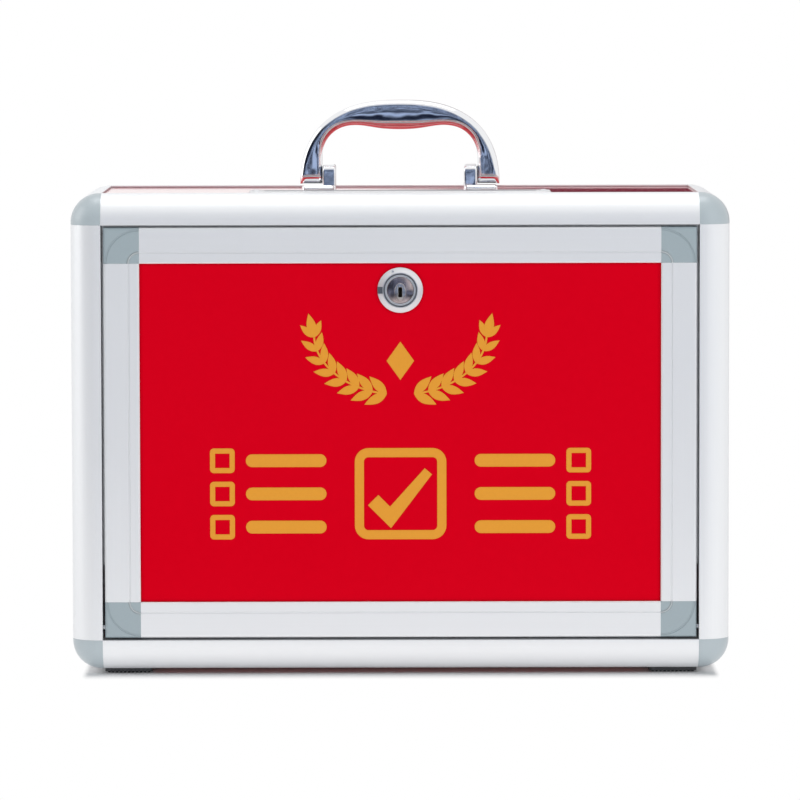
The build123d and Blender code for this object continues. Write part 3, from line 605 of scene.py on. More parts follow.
def grow(tree, values):
    """The plain mesh that a tree makes with the given inputs."""
    carrier = in_scene("carrier", bpy.data.meshes.new("carrier"))
    modifier = carrier.modifiers.new("grow", "NODES")
    modifier.node_group = tree
    for item in tree.interface.items_tree:
        if item.in_out == "INPUT" and item.name in values:
            modifier[item.identifier] = values[item.name]
    evaluated = carrier.evaluated_get(bpy.context.evaluated_depsgraph_get())
    mesh = bpy.data.meshes.new_from_object(evaluated)
    carrier.modifiers.clear()
    bpy.data.objects.remove(carrier)
    return mesh


def thicken(graph, flat, thickness):
    """A closed plate from flat faces that look up, its underside where they are."""
    raised = graph.add("GeometryNodeExtrudeMesh",
                       {"Mesh": flat, "Offset Scale": thickness, "Individual": False}).outputs["Mesh"]
    under = graph.add("GeometryNodeFlipFaces", {"Mesh": flat}).outputs[0]
    whole = graph.add("GeometryNodeJoinGeometry")
    graph.join(raised, whole.inputs[0])
    graph.join(under, whole.inputs[0])
    given = {"Geometry": whole.outputs[0], "Distance": 0.001 * MM}
    return graph.add("GeometryNodeMergeByDistance", given).outputs[0]


def onto_door(mesh, middle_z):
    """Turns a flat design from the XY plane onto the door's face, its middle at a given height."""
    mesh.transform(Matrix.Translation((0, door_face, middle_z)) @ Matrix.Rotation(math.pi / 2, 4, "X"))
    clean(mesh)
    return mesh


# Handle: points of its two lines, as shares of the half span or gap, and of the rise or the arch

outer_shares = ((0.955, 0.43), (0.775, 0.745), (0.42, 0.953))
shoulder_shares = ((1.0, 0.48), (0.95, 0.75), (0.80, 0.935), (0.575, 1.0))
belly_shares = (0.28, 0.34)


def handle_lines(settings, count):
    """The arch's outer line and the finger gap's line on the right half, from the leg's end up."""
    rise = handle_high.z - panel_top
    half_span = (handle_high.x - handle_low.x) / 2
    gap = half_span - settings.leg
    foot = handle_pivot[2] - settings.leg_depth / 2
    crown = handle_high.z
    outer = [(half_span, foot)]
    outer += [(a * half_span, panel_top + b * rise) for a, b in outer_shares]
    outer.append((0, crown))
    inner = [(a * gap, panel_top + b * settings.arch) for a, b in shoulder_shares]
    across, lift = belly_shares
    inner.append((across * gap, panel_top + settings.belly + lift * (settings.arch - settings.belly)))
    inner.append((0, panel_top + settings.belly))
    outer_line = smooth_curve(outer, (0, 1), (-1, 0), count)
    straight = np.linspace((gap, foot), inner[0], 400)[:-1]
    curved = smooth_curve(inner, (0, 1), (-1, 0), 1200)
    whole = np.vstack([straight, curved])
    along = np.concatenate([[0], np.cumsum(np.linalg.norm(np.diff(whole, axis=0), axis=1))])
    shares = np.concatenate([[0], np.cumsum(np.linalg.norm(np.diff(outer_line, axis=0), axis=1))])
    wanted = shares / shares[-1] * along[-1]
    inner_line = np.column_stack([np.interp(wanted, along, whole[:, i]) for i in (0, 1)])
    return outer_line, inner_line


def half_depth(settings, z):
    """Half the handle's depth at a height: round about the pin, then spreading to the grip."""
    radius = settings.leg_depth / 2
    top_half = settings.grip_depth / 2
    rise = handle_high.z + MM - handle_pivot[2]
    # the tangent from the grip's top edge to the round about the pin
    reach = math.hypot(top_half, rise)
    lean = math.atan2(top_half, rise)
    turn = math.acos(radius / reach)
    touch = (radius * math.sin(lean + turn), radius * math.cos(lean + turn))
    above = z - handle_pivot[2]
    if above <= touch[1]:
        return math.sqrt(max(radius ** 2 - above ** 2, 0.0))
    share = (above - touch[1]) / (rise - touch[1])
    return touch[0] + (top_half - touch[0]) * share


def half_section(width, depth, belly, settings, steps):
    """The front half of a section as (way in from the outer line, depth) points: a round outer edge,
    a slightly crowned face, and a full slope from a crisp edge to the finger gap."""
    depth_limit, width_limit, slope_limit = 0.62, 0.49, 0.45  # shares of the section, near the legs' ends
    low, high = math.radians(28), math.radians(75)  # the slope's lean at its edge and at the gap
    r = min(settings.outer_round, depth * depth_limit, width * width_limit)
    slope = min((settings.bevel_share + settings.belly_bevel * belly) * depth, width * slope_limit)
    bend = slope / (math.sin(high) - math.sin(low))
    points = [(r - r * math.cos(a), depth - r + r * math.sin(a))
              for a in (math.pi / 2 * i / steps for i in range(steps + 1))]
    face_end = width - slope
    for i in range(1, steps + 1):
        share = i / steps
        points.append((r + (face_end - r) * share, depth - settings.crown * share ** 2))
    edge = points[-1][1]
    for i in range(1, steps + 1):
        a = low + (high - low) * i / steps
        points.append((face_end + bend * (math.sin(a) - math.sin(low)),
                       edge - bend * (math.cos(low) - math.cos(a))))
    return points


def handle_section(outer, inner, settings, steps):
    """One closed section of the handle as points (x, y, z)."""
    outer, inner = np.array(outer), np.array(inner)
    width = np.linalg.norm(inner - outer)
    toward = (inner - outer) / width
    depth = half_depth(settings, (outer[1] + inner[1]) / 2)
    reach = abs(inner[0]) / (shoulder_shares[-1][0] * (handle_high.x - settings.leg))
    belly = math.cos(math.pi / 2 * min(reach, 1)) ** 2
    front = half_section(width, depth, belly, settings, steps)
    out = []
    for w, y in [(w, -y) for w, y in front] + front[::-1]:
        x, z = outer + toward * w
        edge = half_depth(settings, z) / max(depth, 1e-9)
        out.append((x, y * edge, z))
    return out


def build_handle(settings):
    """The cast handle as one smooth closed skin, with closer stations where the legs' ends are round."""
    count, corner_steps, end_steps = 170, 7, 10
    end_round, first_rise = settings.leg_depth / 2, 0.004 * MM
    outer, inner = handle_lines(settings, count)
    span, foot, gap = outer[0][0], outer[0][1], inner[0][0]
    half = []
    for i in range(end_steps):
        z = foot + end_round * (1 - math.cos(math.pi / 2 * i / end_steps)) + first_rise
        half.append((np.array((span, z)), np.array((gap, z))))
    half += [(o, n) for o, n in zip(outer, inner) if o[1] > foot + end_round]
    mirror = np.array((-1, 1))
    whole = half + [(o * mirror, n * mirror) for o, n in half[-2::-1]]
    shape = bmesh.new()
    rings = [[shape.verts.new(p) for p in handle_section(o, n, settings, corner_steps)] for o, n in whole]
    skin(shape, rings)
    shape.faces.new(rings[0])
    shape.faces.new(rings[-1])
    mesh = to_mesh(shape, "handle")
    clean(mesh)
    return mesh


# Fasteners


def fastener_tree():
    """One fastener at each corner of a rectangle, or at each end of a line."""
    graph, given, result = new_tree("fasteners", Object=("Fastener",), Float=("Spacing X", "Spacing Y"),
                                    Int=("Rows",), Vector=("Middle",))
    places = graph.add("GeometryNodeMeshGrid", {"Size X": given["Spacing X"], "Size Y": given["Spacing Y"],
                                                "Vertices X": 2, "Vertices Y": given["Rows"]})
    shifted = graph.add("GeometryNodeTransform", {"Geometry": places.outputs["Mesh"],
                                                  "Translation": given["Middle"]}).outputs[0]
    source = graph.add("GeometryNodeObjectInfo", {"Object": given["Fastener"]}).outputs["Geometry"]
    many = graph.add("GeometryNodeInstanceOnPoints", {"Points": shifted, "Instance": source}).outputs[0]
    deliver(graph, given, many, result)
    return graph.tree


def cut_cross(mesh, depth, width, top, arm_share=0.22):
    """A cross recess in the head of a screw whose head looks up and ends at top."""
    shape = bmesh.new()
    bar = Matrix.Diagonal((width, width * arm_share, 2 * depth, 1))
    for turn in (0, math.pi / 2):
        place = Matrix.Translation((0, 0, top)) @ Matrix.Rotation(turn, 4, "Z") @ bar
        bmesh.ops.create_cube(shape, size=1.0, matrix=place)
    head, cutter = in_scene("head", mesh), in_scene("cross", to_mesh(shape, "cross"))
    cut = head.modifiers.new("cut", "BOOLEAN")
    cut.object = cutter
    cut.operation = "DIFFERENCE"
    cut.solver = "EXACT"
    cut.use_self = True
    evaluated = head.evaluated_get(bpy.context.evaluated_depsgraph_get())
    result = bpy.data.meshes.new_from_object(evaluated)
    for made in (head, cutter):
        bpy.data.objects.remove(made)
    clean(result)
    return result


def screw_mesh(radius, head_radius, head, length):
    """A pan-head machine screw whose head looks up from zero, its shank below."""
    tip, recess_depth, recess_width = radius * 0.3, head * 0.6, head_radius * 1.15
    edge = min(head * 0.6, head_radius * 0.4)
    outline = [(0, -length), (radius - tip, -length), (radius, tip - length), (radius, 0), (head_radius, 0)]
    outline += arc((head_radius - edge, head - edge), edge, 0, math.pi / 2, 5)
    outline.append((0, head))
    return cut_cross(lathe(outline, 40), recess_depth, recess_width, head)


def rivet_mesh(radius, head_radius, head, grip):
    """A rivet with a domed head above zero and a formed head below its grip."""
    dome = [(head_radius * math.cos(a), head * math.sin(a))
            for a in (math.pi / 2 * i / 7 for i in range(7))]
    formed, formed_edge = head_radius * 0.8, head * 0.6
    outline = [(0, -grip - head), (formed, -grip - head), (head_radius, -grip - formed_edge),
               (head_radius, -grip), (radius, -grip), (radius, 0)]
    return lathe(outline + dome + [(0, head)], 36)


def nut_mesh(flats, thickness, bore, count=36):
    """A hexagon nut with both faces chamfered, standing on zero, its corners towards X."""
    shape = bmesh.new()
    corner, chamfer = flats / math.sqrt(3), thickness * 0.14
    cut_back = chamfer * 1.6
    turns = [2 * math.pi * i / count for i in range(count)]

    def ring(radius, height):
        """Vertices about Z, where radius gives their distance at an angle."""
        return [shape.verts.new((radius(a) * math.cos(a), radius(a) * math.sin(a), height)) for a in turns]

    def side(inset):
        """The hexagon's distance at an angle, its corners cut back."""
        return lambda a: min(flats / 2 / math.cos(a % (math.pi / 3) - math.pi / 6), corner - inset)

    heights = ((0, cut_back), (chamfer, 0), (thickness - chamfer, 0), (thickness, cut_back))
    outer = [ring(side(inset), height) for height, inset in heights]
    inner = [ring(lambda a: bore, height) for height in (thickness, 0)]
    skin(shape, outer + inner + [outer[0]])
    mesh = to_mesh(shape, "nut")
    clean(mesh)
    return mesh


def set_out(tree, name, node, template, reach_x, reach_y, middle_z, rows, material, flip=False):
    """Fasteners of one node, set out from that node's own box, and standing for it."""
    low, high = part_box(node)
    if flip:
        template.transform(Matrix.Rotation(math.pi, 4, "X"))
    source = in_scene("fastener", template)
    size = high - low
    middle = ((low.x + high.x) / 2, (low.y + high.y) / 2, middle_z)
    mesh = grow(tree, {"Fastener": source, "Spacing X": size.x - 2 * reach_x,
                       "Spacing Y": size.y - 2 * reach_y, "Rows": rows, "Middle": middle,
                       "Material": material})
    bpy.data.objects.remove(source)
    clean(mesh)
    return piece(name, mesh, "frame", material, (node,), smooth=math.radians(32))


def wafer_mesh(width, height, count=5):
    """The lock's wafers: thin plates one behind the other across the keyway."""
    shape = bmesh.new()
    thickness, pitch, start = 0.8 * MM, 1.25 * MM, 1.6 * MM  # start is behind the plug's face
    size = Matrix.Diagonal((width, thickness, height, 1))
    for i in range(count):
        place = Matrix.Translation((0, lock_low.y + start + i * pitch, 0))
        bmesh.ops.create_cube(shape, size=1.0, matrix=place @ size)
    return to_mesh(shape, "wafers")


# Artwork


def flat_leaf(graph, given):
    """One flat leaf from a narrow grid, pointed at both ends, its stem's end at zero."""
    grid = graph.add("GeometryNodeMeshGrid",
                     {"Size X": 1.0, "Size Y": 1.0, "Vertices X": 15, "Vertices Y": 3})
    spot = graph.split(graph.add("GeometryNodeInputPosition").outputs[0])
    share = graph.maths("ADD", spot[0], 0.5)
    fullness = 0.85  # under one, the leaf is widest nearer its stem
    swell = graph.maths("SINE", graph.times(graph.maths("POWER", share, fullness), math.pi))
    across = graph.times(graph.times(spot[1], swell), given["Leaf Width"])
    spread_out = graph.add("ShaderNodeCombineXYZ", {0: graph.times(share, given["Leaf"]), 1: across})
    return graph.add("GeometryNodeSetPosition", {"Geometry": grid.outputs["Mesh"],
                                                 "Position": spread_out.outputs[0]}).outputs[0]


def leaf_tree():
    """A spray of leaves in pairs along both halves of a wide bow, with a stem."""
    graph, given, result = new_tree("leaf_sprays", Int=("Pairs",), Float=("Half Width", "Height", "Leaf",
                                                                          "Leaf Width", "Film", "Spread"))
    parts = graph.add("GeometryNodeJoinGeometry")
    flat = flat_leaf(graph, given)
    bow_start, bow_sweep = 0.16, 1.36  # angles from the bow's lowest point
    last_size, last_leaf = 0.72, 8.0  # the leaves' scale by then
    stem_width, stem_height = 1.1 * MM, 0.28 * MM
    for side in (1, -1):
        bow = graph.add("GeometryNodeCurveArc", {"Resolution": 64, "Radius": 1.0,
                                                 "Start Angle": side * bow_start - math.pi / 2,
                                                 "Sweep Angle": side * bow_sweep}, mode="RADIUS")
        size = graph.add("ShaderNodeCombineXYZ", {0: given["Half Width"], 1: given["Height"], 2: 1.0})
        line = graph.add("GeometryNodeTransform", {"Geometry": bow.outputs["Curve"],
                                                   "Scale": size.outputs[0]}).outputs[0]
        places = graph.add("GeometryNodeResampleCurve", {"Curve": line, "Count": given["Pairs"]}).outputs[0]
        along = graph.add("GeometryNodeInputTangent").outputs[0]
        straight = graph.add("FunctionNodeAlignRotationToVector", {"Vector": along}, axis="X").outputs[0]
        number = graph.add("GeometryNodeInputIndex").outputs[0]
        small = graph.remap(number, 1.0, last_size, 0.0, last_leaf)
        # Each leaf has its own height, so that no two faces lie in one plane
        for turn, lift in ((-1, 1.0), (1, 1.25)):
            angle = graph.times(given["Spread"], float(turn))
            about = graph.add("FunctionNodeAxisAngleToRotation", {"Axis": (0, 0, 1), "Angle": angle})
            swing = graph.add("FunctionNodeRotateRotation", {0: straight, 1: about.outputs[0]},
                              rotation_space="GLOBAL").outputs[0]
            leaf = thicken(graph, flat, graph.times(given["Film"], lift))
            many = graph.add("GeometryNodeInstanceOnPoints",
                             {"Points": places, "Instance": leaf, "Rotation": swing, "Scale": small})
            graph.join(many.outputs[0], parts.inputs[0])
        # The leaf at the spray's tip
        last = graph.maths("GREATER_THAN", number, graph.less(given["Pairs"], 1.5))
        tip = thicken(graph, flat, graph.times(given["Film"], 1.5))
        one = graph.add("GeometryNodeInstanceOnPoints",
                        {"Points": places, "Instance": tip, "Selection": last, "Rotation": straight})
        graph.join(one.outputs[0], parts.inputs[0])
        section = graph.add("GeometryNodeCurvePrimitiveQuadrilateral",
                            {"Width": stem_width, "Height": stem_height})
        stem = graph.add("GeometryNodeCurveToMesh", {"Curve": line, "Profile Curve": section.outputs[0],
                                                     "Fill Caps": True})
        graph.join(stem.outputs[0], parts.inputs[0])
    deliver(graph, given, parts.outputs[0], result)
    return graph.tree


def rounded_ring(graph, width, height, corner, line=None):
    """Flat faces of a rounded rectangle, open inside if a line width is given."""
    shapes = graph.add("GeometryNodeJoinGeometry")
    for inset in (0.0,) if line is None else (0.0, 1.0):
        less = 0.0 if line is None else graph.times(line, inset)
        sides = {key: graph.less(value, 0.0 if line is None else graph.times(line, 2 * inset))
                 for key, value in (("Width", width), ("Height", height))}
        rect = graph.add("GeometryNodeCurvePrimitiveQuadrilateral", sides)
        bend = graph.add("GeometryNodeFilletCurve",
                         {"Curve": rect.outputs[0], "Radius": graph.less(corner, less),
                          "Count": 8, "Limit Radius": True}, mode="POLY")
        graph.join(bend.outputs[0], shapes.inputs[0])
    return graph.add("GeometryNodeFillCurve", {"Curve": shapes.outputs[0]}, mode="TRIANGLES").outputs[0]


def rows_tree():
    """Ballot rows: a small square and a bar, repeated down the page on both sides of a large square."""
    graph, given, result = new_tree("ballot_rows", Int=("Rows",), Float=(
        "Pitch", "Box", "Box Line", "Bar", "Bar Height", "Outer Edge", "Film", "Square", "Square Line"))
    parts = graph.add("GeometryNodeJoinGeometry")
    box_round_share, square_round_share, bar_round_share = 0.16, 0.15, 0.49
    bar_start_share = 1.45  # where a bar starts, in small squares from the outer edge

    def ring(size, round_share, line):
        """A raised square ring, its corners rounded by a share of its size."""
        flat = rounded_ring(graph, size, size, graph.times(size, round_share), line)
        return thicken(graph, flat, given["Film"])

    box = ring(given["Box"], box_round_share, given["Box Line"])
    bar_round = graph.times(given["Bar Height"], bar_round_share)
    bar = thicken(graph, rounded_ring(graph, given["Bar"], given["Bar Height"], bar_round), given["Film"])
    box_at = graph.less(given["Outer Edge"], graph.times(given["Box"], 0.5))
    past_box = graph.less(given["Outer Edge"], graph.times(given["Box"], bar_start_share))
    bar_at = graph.less(past_box, graph.times(given["Bar"], 0.5))
    top = graph.times(given["Pitch"], graph.times(graph.less(given["Rows"], 1.0), 0.5))
    step = graph.add("ShaderNodeCombineXYZ", {1: graph.times(given["Pitch"], -1.0)}).outputs[0]
    for side in (-1.0, 1.0):
        for shape, place in ((box, box_at), (bar, bar_at)):
            start = graph.add("ShaderNodeCombineXYZ", {0: graph.times(place, side), 1: top}).outputs[0]
            line = graph.add("GeometryNodeMeshLine", {"Count": given["Rows"], "Start Location": start,
                                                      "Offset": step}, mode="OFFSET").outputs[0]
            many = graph.add("GeometryNodeInstanceOnPoints", {"Points": line, "Instance": shape}).outputs[0]
            graph.join(many, parts.inputs[0])
    graph.join(ring(given["Square"], square_round_share, given["Square Line"]), parts.inputs[0])
    deliver(graph, given, parts.outputs[0], result)
    return graph.tree


def plate(outline, thickness):
    """A closed flat plate on the XY plane from its outline."""
    shape = bmesh.new()
    under, over = ([shape.verts.new((x, y, z)) for x, y in outline] for z in (0, thickness))
    skin(shape, [under, over])
    shape.faces.new(under)
    shape.faces.new(over)
    return to_mesh(shape, "plate")


def tick_outline(size, stroke):
    """A tick: a short stroke down to its foot and a long one up, with blunt ends."""
    foot_share, short_share = Vector((-0.11, -0.26)), Vector((-0.19, 0.19))
    long_share = Vector((0.42, 0.50))
    foot = foot_share * size
    short_end, long_end = foot + short_share * size, foot + long_share * size
    down, up = (foot - short_end).normalized(), (long_end - foot).normalized()
    left_down, left_up = Vector((-down.y, down.x)), Vector((-up.y, up.x))
    half, end_under, end_over = stroke / 2, 0.55, 0.75
    turn = math.acos(max(-1, min(1, down.dot(up))))
    mitre = (left_down + left_up).normalized() * (half / math.cos(turn / 2))
    points = (short_end - left_down * half, foot - mitre, long_end - left_up * half * end_under,
              long_end + left_up * half * end_over, foot + mitre, short_end + left_down * half)
    return [tuple(p) for p in points]


def diamond_outline(width, height):
    """The four corners of a diamond."""
    return [(width / 2, 0), (0, height / 2), (-width / 2, 0), (0, -height / 2)]


# Operators


class BALLOTBOX_OT_finishes(bpy.types.Operator):
    """Give every CAD node its procedural finish."""

    bl_idname = "ballotbox.finishes"
    bl_label = "Finish the frame"

    def execute(self, context):
        made = make_finishes(context.scene.ballot_finish)
        for name, node in frame["nodes"].items():
            node.data.materials.clear()
            node.data.materials.append(made[finish_of(name)])
        return {"FINISHED"}


class BALLOTBOX_OT_handle(bpy.types.Operator):
    """Build the smooth chrome handle."""

    bl_idname = "ballotbox.handle"
    bl_label = "Handle"

    def execute(self, context):
        mesh = build_handle(context.scene.ballot_handle)
        piece("cast_handle", mesh, "handle", bpy.data.materials["bright_chrome"], ("handle",),
              smooth=math.radians(28))
        return {"FINISHED"}


class BALLOTBOX_OT_fasteners(bpy.types.Operator):
    """Build the rivets, screws and nuts."""

    bl_idname = "ballotbox.fasteners"
    bl_label = "Fasteners"

    def execute(self, context):
        sizes = context.scene.ballot_fasteners
        zinc_steel = bpy.data.materials["zinc_steel"]
        tree = fastener_tree()
        low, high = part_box("slot_rivets")
        head, dome = sizes.rivet_head, sizes.rivet_dome
        rivet = rivet_mesh(sizes.rivet_radius, head, dome, high.z - low.z - 2 * dome)
        set_out(tree, "bezel_rivets", "slot_rivets", rivet, head, head, high.z - dome, 1, zinc_steel)
        for name, node, head_height in (("handle_screws", "lug_screws", sizes.lug_head),
                                        ("base_screws", "foot_screws", sizes.foot_head)):
            low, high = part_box(node)
            head = sizes.screw_head
            screw = screw_mesh(sizes.screw_radius, head, head_height, high.z - low.z - head_height)
            set_out(tree, name, node, screw, head, head, low.z + head_height, 2, zinc_steel, flip=True)
        low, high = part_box("foot_nuts")
        flats = sizes.nut_flats
        nut = nut_mesh(flats, high.z - low.z, sizes.screw_radius + 0.1 * MM)
        set_out(tree, "base_nuts", "foot_nuts", nut, flats / math.sqrt(3), flats / 2, low.z, 2, zinc_steel)
        # The wafers are real parts; their near-black colour is painted shade in the keyway
        wafers = wafer_mesh(sizes.wafer_width, sizes.wafer_height)
        wafers.transform(Matrix.Translation((lock_middle.x, 0, lock_middle.z - sizes.keyway_drop)))
        piece("key_wafers", wafers, "lock_cylinder", bpy.data.materials["keyway_shade_brass"])
        return {"FINISHED"}


class BALLOTBOX_OT_sprays(bpy.types.Operator):
    """Print a pair of leaf sprays and a diamond on the door."""

    bl_idname = "ballotbox.sprays"
    bl_label = "Leaf sprays"

    def execute(self, context):
        art = context.scene.ballot_artwork
        gold = bpy.data.materials["gold_print"]
        middle_z = lock_middle.z - art.spray_drop
        sprays = grow(leaf_tree(), {"Half Width": art.spray_half, "Height": art.spray_height,
                                    "Leaf": art.leaf, "Leaf Width": art.leaf_width,
                                    "Pairs": art.leaf_count, "Film": art.film, "Spread": art.leaf_spread,
                                    "Material": gold})
        sprays.transform(Matrix.Translation((0, art.spray_height * 0.5, 0)))
        piece("leaf_sprays", onto_door(sprays, middle_z), "door", gold)
        diamond = plate(diamond_outline(art.diamond_width, art.diamond_height), art.film)
        piece("spray_diamond", onto_door(diamond, middle_z + art.diamond_lift), "door", gold)
        return {"FINISHED"}


class BALLOTBOX_OT_rows(bpy.types.Operator):
    """Print the ballot rows and the ticked square on the door."""

    bl_idname = "ballotbox.rows"
    bl_label = "Ballot rows"

    def execute(self, context):
        art = context.scene.ballot_artwork
        gold = bpy.data.materials["gold_print"]
        middle_z = lock_middle.z - art.rows_drop
        rows = grow(rows_tree(), {"Pitch": art.rows_pitch, "Rows": art.row_count, "Box": art.row_box,
                                  "Box Line": art.row_box_line, "Bar": art.row_bar,
                                  "Bar Height": art.row_bar_height, "Outer Edge": art.rows_edge,
                                  "Film": art.film, "Square": art.square, "Square Line": art.square_line,
                                  "Material": gold})
        piece("ballot_rows", onto_door(rows, middle_z), "door", gold)
        # The tick is a little thicker, so that no face of it lies in the rows' plane
        tick = plate(tick_outline(art.square, art.tick_stroke), art.film * 1.4)
        piece("ballot_tick", onto_door(tick, middle_z), "door", gold)
        return {"FINISHED"}


def soft_lamp(name, place, target, size_x, size_y, power, in_gloss=True):
    """A soft area lamp that looks at a target, and may be kept out of what gloss sees."""
    data = bpy.data.lights.new(name, "AREA")
    data.shape = "RECTANGLE"
    data.size, data.size_y = size_x, size_y
    data.energy = power
    lamp = in_scene(name, data)
    lamp.location = place
    lamp.rotation_mode = "QUATERNION"
    lamp.rotation_quaternion = (Vector(target) - Vector(place)).to_track_quat("-Z", "Y")
    lamp.visible_glossy = in_gloss


def looked_at(graph):
    """One for rays that show a surface as such, to the eye, in gloss or through glass."""
    ray = graph.add("ShaderNodeLightPath").outputs
    return graph.maths("MAXIMUM", ray["Is Camera Ray"],
                       graph.maths("MAXIMUM", ray["Is Glossy Ray"], ray["Is Transmission Ray"]))


def patchy(graph, place, scale, dark, light):
    """Soft patches of two tones, as an unlit room shows in gloss."""
    given = {"Vector": place, "Scale": scale, "Detail": 3.0}
    patches = graph.add("ShaderNodeTexNoise", given).outputs[0]
    return graph.blend(graph.fade(patches, 0.47, 0.56), rgba(dark), rgba(light))


def make_world(stage):
    """White surroundings. Gloss sees them patchy and dim at the camera's side, dark beside the box
    at the left front, and dark and reddish low behind it to the right."""
    world = bpy.data.worlds.new("studio")
    world.use_nodes = True
    bpy.context.scene.world = world
    graph = Graph(world.node_tree)
    output = world.node_tree.nodes["World Output"]
    world.node_tree.nodes.remove(world.node_tree.nodes["Background"])
    direction = graph.add("ShaderNodeTexCoord").outputs["Generated"]
    x, y, z = graph.split(direction)
    camera_side, left_screen = (-0.25, -1, 0.06), (-0.72, -0.69, 0.02)
    maroon, screen_tone = (0.085, 0.014, 0.034, 1), (0.01, 0.015, 0.03, 1)
    low_behind = graph.times(graph.fade(y, 0.80, 0.95), graph.fade(z, 0.10, 0.24, 1.0, 0.0))
    behind = graph.blend(graph.fade(x, -0.012, 0.022), WHITE, maroon)
    mirrored = graph.blend(low_behind, WHITE, behind)
    for aim, start, end, tone in (
            (camera_side, 0.62, 0.90, patchy(graph, direction, 30.0, stage.dim, stage.glow)),
            (left_screen, 0.84, 0.94, screen_tone)):
        mirrored = graph.blend(graph.fade(graph.toward(direction, aim), start, end), mirrored, tone)
    to_eye = graph.add("ShaderNodeLightPath").outputs["Is Camera Ray"]
    seen = graph.add("ShaderNodeBackground", {"Color": graph.blend(to_eye, mirrored, WHITE)}).outputs[0]
    light = graph.add("ShaderNodeBackground", {"Strength": stage.ambient, "Color": WHITE}).outputs[0]
    mixed = graph.add("ShaderNodeMixShader", {0: looked_at(graph), 1: light, 2: seen}).outputs[0]
    graph.join(mixed, output.inputs["Surface"])


def make_floor(stage):
    """A pale round floor that keeps the box's shadow close to it and fades into the white
    surroundings. Gloss sees its front part as dim as the surroundings there."""
    floor_radius = 4.0
    shade_half_x, shade_half_y = 0.171, 0.059  # the floor's own surface shows within these
    shade_fade, side_pull = 0.026, 6.0  # it ends in this distance, so many times sooner beside the box
    dim_start, dim_full = -0.25, -0.6
    shape = bmesh.new()
    bmesh.ops.create_circle(shape, cap_ends=True, segments=96, radius=floor_radius)
    floor = in_scene("floor", to_mesh(shape, "floor"))
    material = bpy.data.materials.new("floor")
    material.use_nodes = True
    graph = Graph(material.node_tree)
    surface = material.node_tree.nodes["Principled BSDF"]
    output = material.node_tree.nodes["Material Output"]
    for key, value in (("Base Color", (0.93, 0.93, 0.935, 1)), ("Roughness", 0.7),
                       ("Specular IOR Level", 0.2)):
        surface.inputs[key].default_value = value
    place = graph.add("ShaderNodeTexCoord").outputs["Object"]
    x, y, _ = graph.split(place)
    past_x, past_y = (graph.maths("MAXIMUM", graph.less(graph.unsigned(axis), half), 0.0)
                      for axis, half in ((x, shade_half_x), (y, shade_half_y)))
    far = graph.fade(graph.distance(graph.times(past_x, side_pull), past_y), 0.0, shade_fade)
    ray = graph.add("ShaderNodeLightPath").outputs
    in_front = graph.fade(y, dim_start, dim_full)
    dim = patchy(graph, place, 2.6, stage.dim, stage.glow)
    shown = graph.blend(graph.times(in_front, ray["Is Glossy Ray"]), WHITE, dim)
    white = graph.add("ShaderNodeEmission", {"Color": shown, "Strength": 1.0}).outputs[0]
    diffuse = graph.times(ray["Is Diffuse Ray"], 0.55)
    share = graph.times(far, graph.maths("MAXIMUM", looked_at(graph), diffuse))
    mixed = graph.add("ShaderNodeMixShader", {0: share, 1: surface.outputs[0], 2: white}).outputs[0]
    graph.join(mixed, output.inputs["Surface"])
    floor.data.materials.append(material)


def make_camera():
    """The camera at the photograph's place, direction and angle of view."""
    place = Vector((-0.0039, -3.0758, 0.3809))
    yaw, pitch, roll = (math.radians(a) for a in (-0.07, -4.363, 0.111))
    right = Vector((math.cos(yaw), math.sin(yaw), 0))
    forward = Vector((-math.sin(yaw) * math.cos(pitch), math.cos(yaw) * math.cos(pitch), math.sin(pitch)))
    up = right.cross(forward)
    turned_right = right * math.cos(roll) - up * math.sin(roll)
    turned_up = right * math.sin(roll) + up * math.cos(roll)
    data = bpy.data.cameras.new("camera")
    data.sensor_width = 36
    data.lens = 249.0
    data.clip_start, data.clip_end = 0.05, 50
    camera = in_scene("camera", data)
    columns = (turned_right, turned_up, -forward)
    turn = Matrix([[c[i] for c in columns] for i in range(3)]).to_4x4()
    camera.matrix_world = Matrix.Translation(place) @ turn
    bpy.context.scene.camera = camera


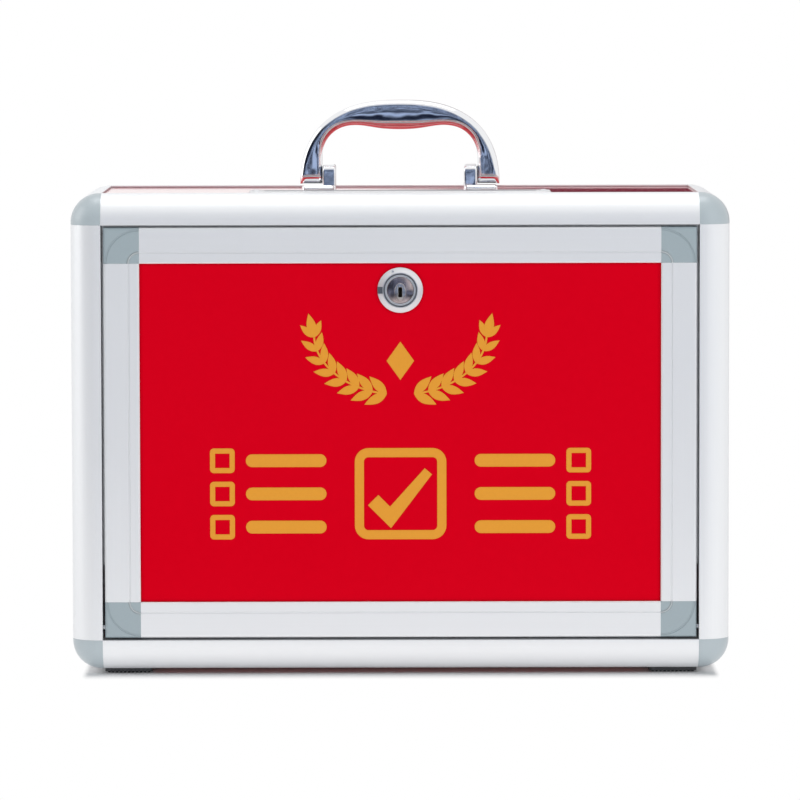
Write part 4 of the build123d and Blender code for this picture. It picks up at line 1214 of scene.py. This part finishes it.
class BALLOTBOX_OT_stage(bpy.types.Operator):
    """Set up the camera, the lamps, the surroundings and the floor."""

    bl_idname = "ballotbox.stage"
    bl_label = "Studio"

    def execute(self, context):
        stage = context.scene.ballot_stage
        context.scene.view_settings.view_transform = "Standard"
        make_camera()
        make_world(stage)
        make_floor(stage)
        target = (0, 0, 0.13)  # the middle of the body
        soft_lamp("top_lamp", (0, 0.15, 1.5), target, 1.2, 0.6, stage.top_power)
        soft_lamp("front_lamp", (0, -3.3, 0.42), target, 0.5, 0.4, stage.front_power, in_gloss=False)
        soft_lamp("left_lamp", (-1.9, 0.1, 0.9), target, 0.9, 1.3, stage.left_power)
        soft_lamp("right_lamp", (1.7, -1.3, 0.9), target, 0.9, 1.3, stage.right_power, in_gloss=False)
        return {"FINISHED"}


PIECES = (BALLOTBOX_OT_finishes, BALLOTBOX_OT_handle, BALLOTBOX_OT_fasteners, BALLOTBOX_OT_sprays,
          BALLOTBOX_OT_rows, BALLOTBOX_OT_stage)


class BALLOTBOX_PT_looks(bpy.types.Panel):
    """Sizes, colours and steps of the ballot box's looks."""

    bl_idname = "BALLOTBOX_PT_looks"
    bl_label = "Ballot Box"
    bl_space_type = "VIEW_3D"
    bl_region_type = "UI"
    bl_category = "Ballot Box"

    def draw(self, context):
        for name, group in SETTINGS.items():
            box = self.layout.box()
            for field in group.__annotations__:
                box.prop(getattr(context.scene, name), field)
        for operator in PIECES:
            self.layout.operator(operator.bl_idname)


def register():
    """Register the classes and hang their settings on the scene."""
    for item in (*SETTINGS.values(), *PIECES, BALLOTBOX_PT_looks):
        bpy.utils.register_class(item)
    for name, group in SETTINGS.items():
        setattr(bpy.types.Scene, name, bpy.props.PointerProperty(type=group))


def unregister():
    """Take the settings and classes away again."""
    for name in SETTINGS:
        delattr(bpy.types.Scene, name)
    for item in reversed((*SETTINGS.values(), *PIECES, BALLOTBOX_PT_looks)):
        bpy.utils.unregister_class(item)


def main():
    """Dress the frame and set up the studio."""
    register()
    bpy.ops.ballotbox.finishes()
    bpy.ops.ballotbox.handle()
    bpy.ops.ballotbox.fasteners()
    bpy.ops.ballotbox.sprays()
    bpy.ops.ballotbox.rows()
    bpy.ops.ballotbox.stage()


if __name__ == "__main__":
    main()
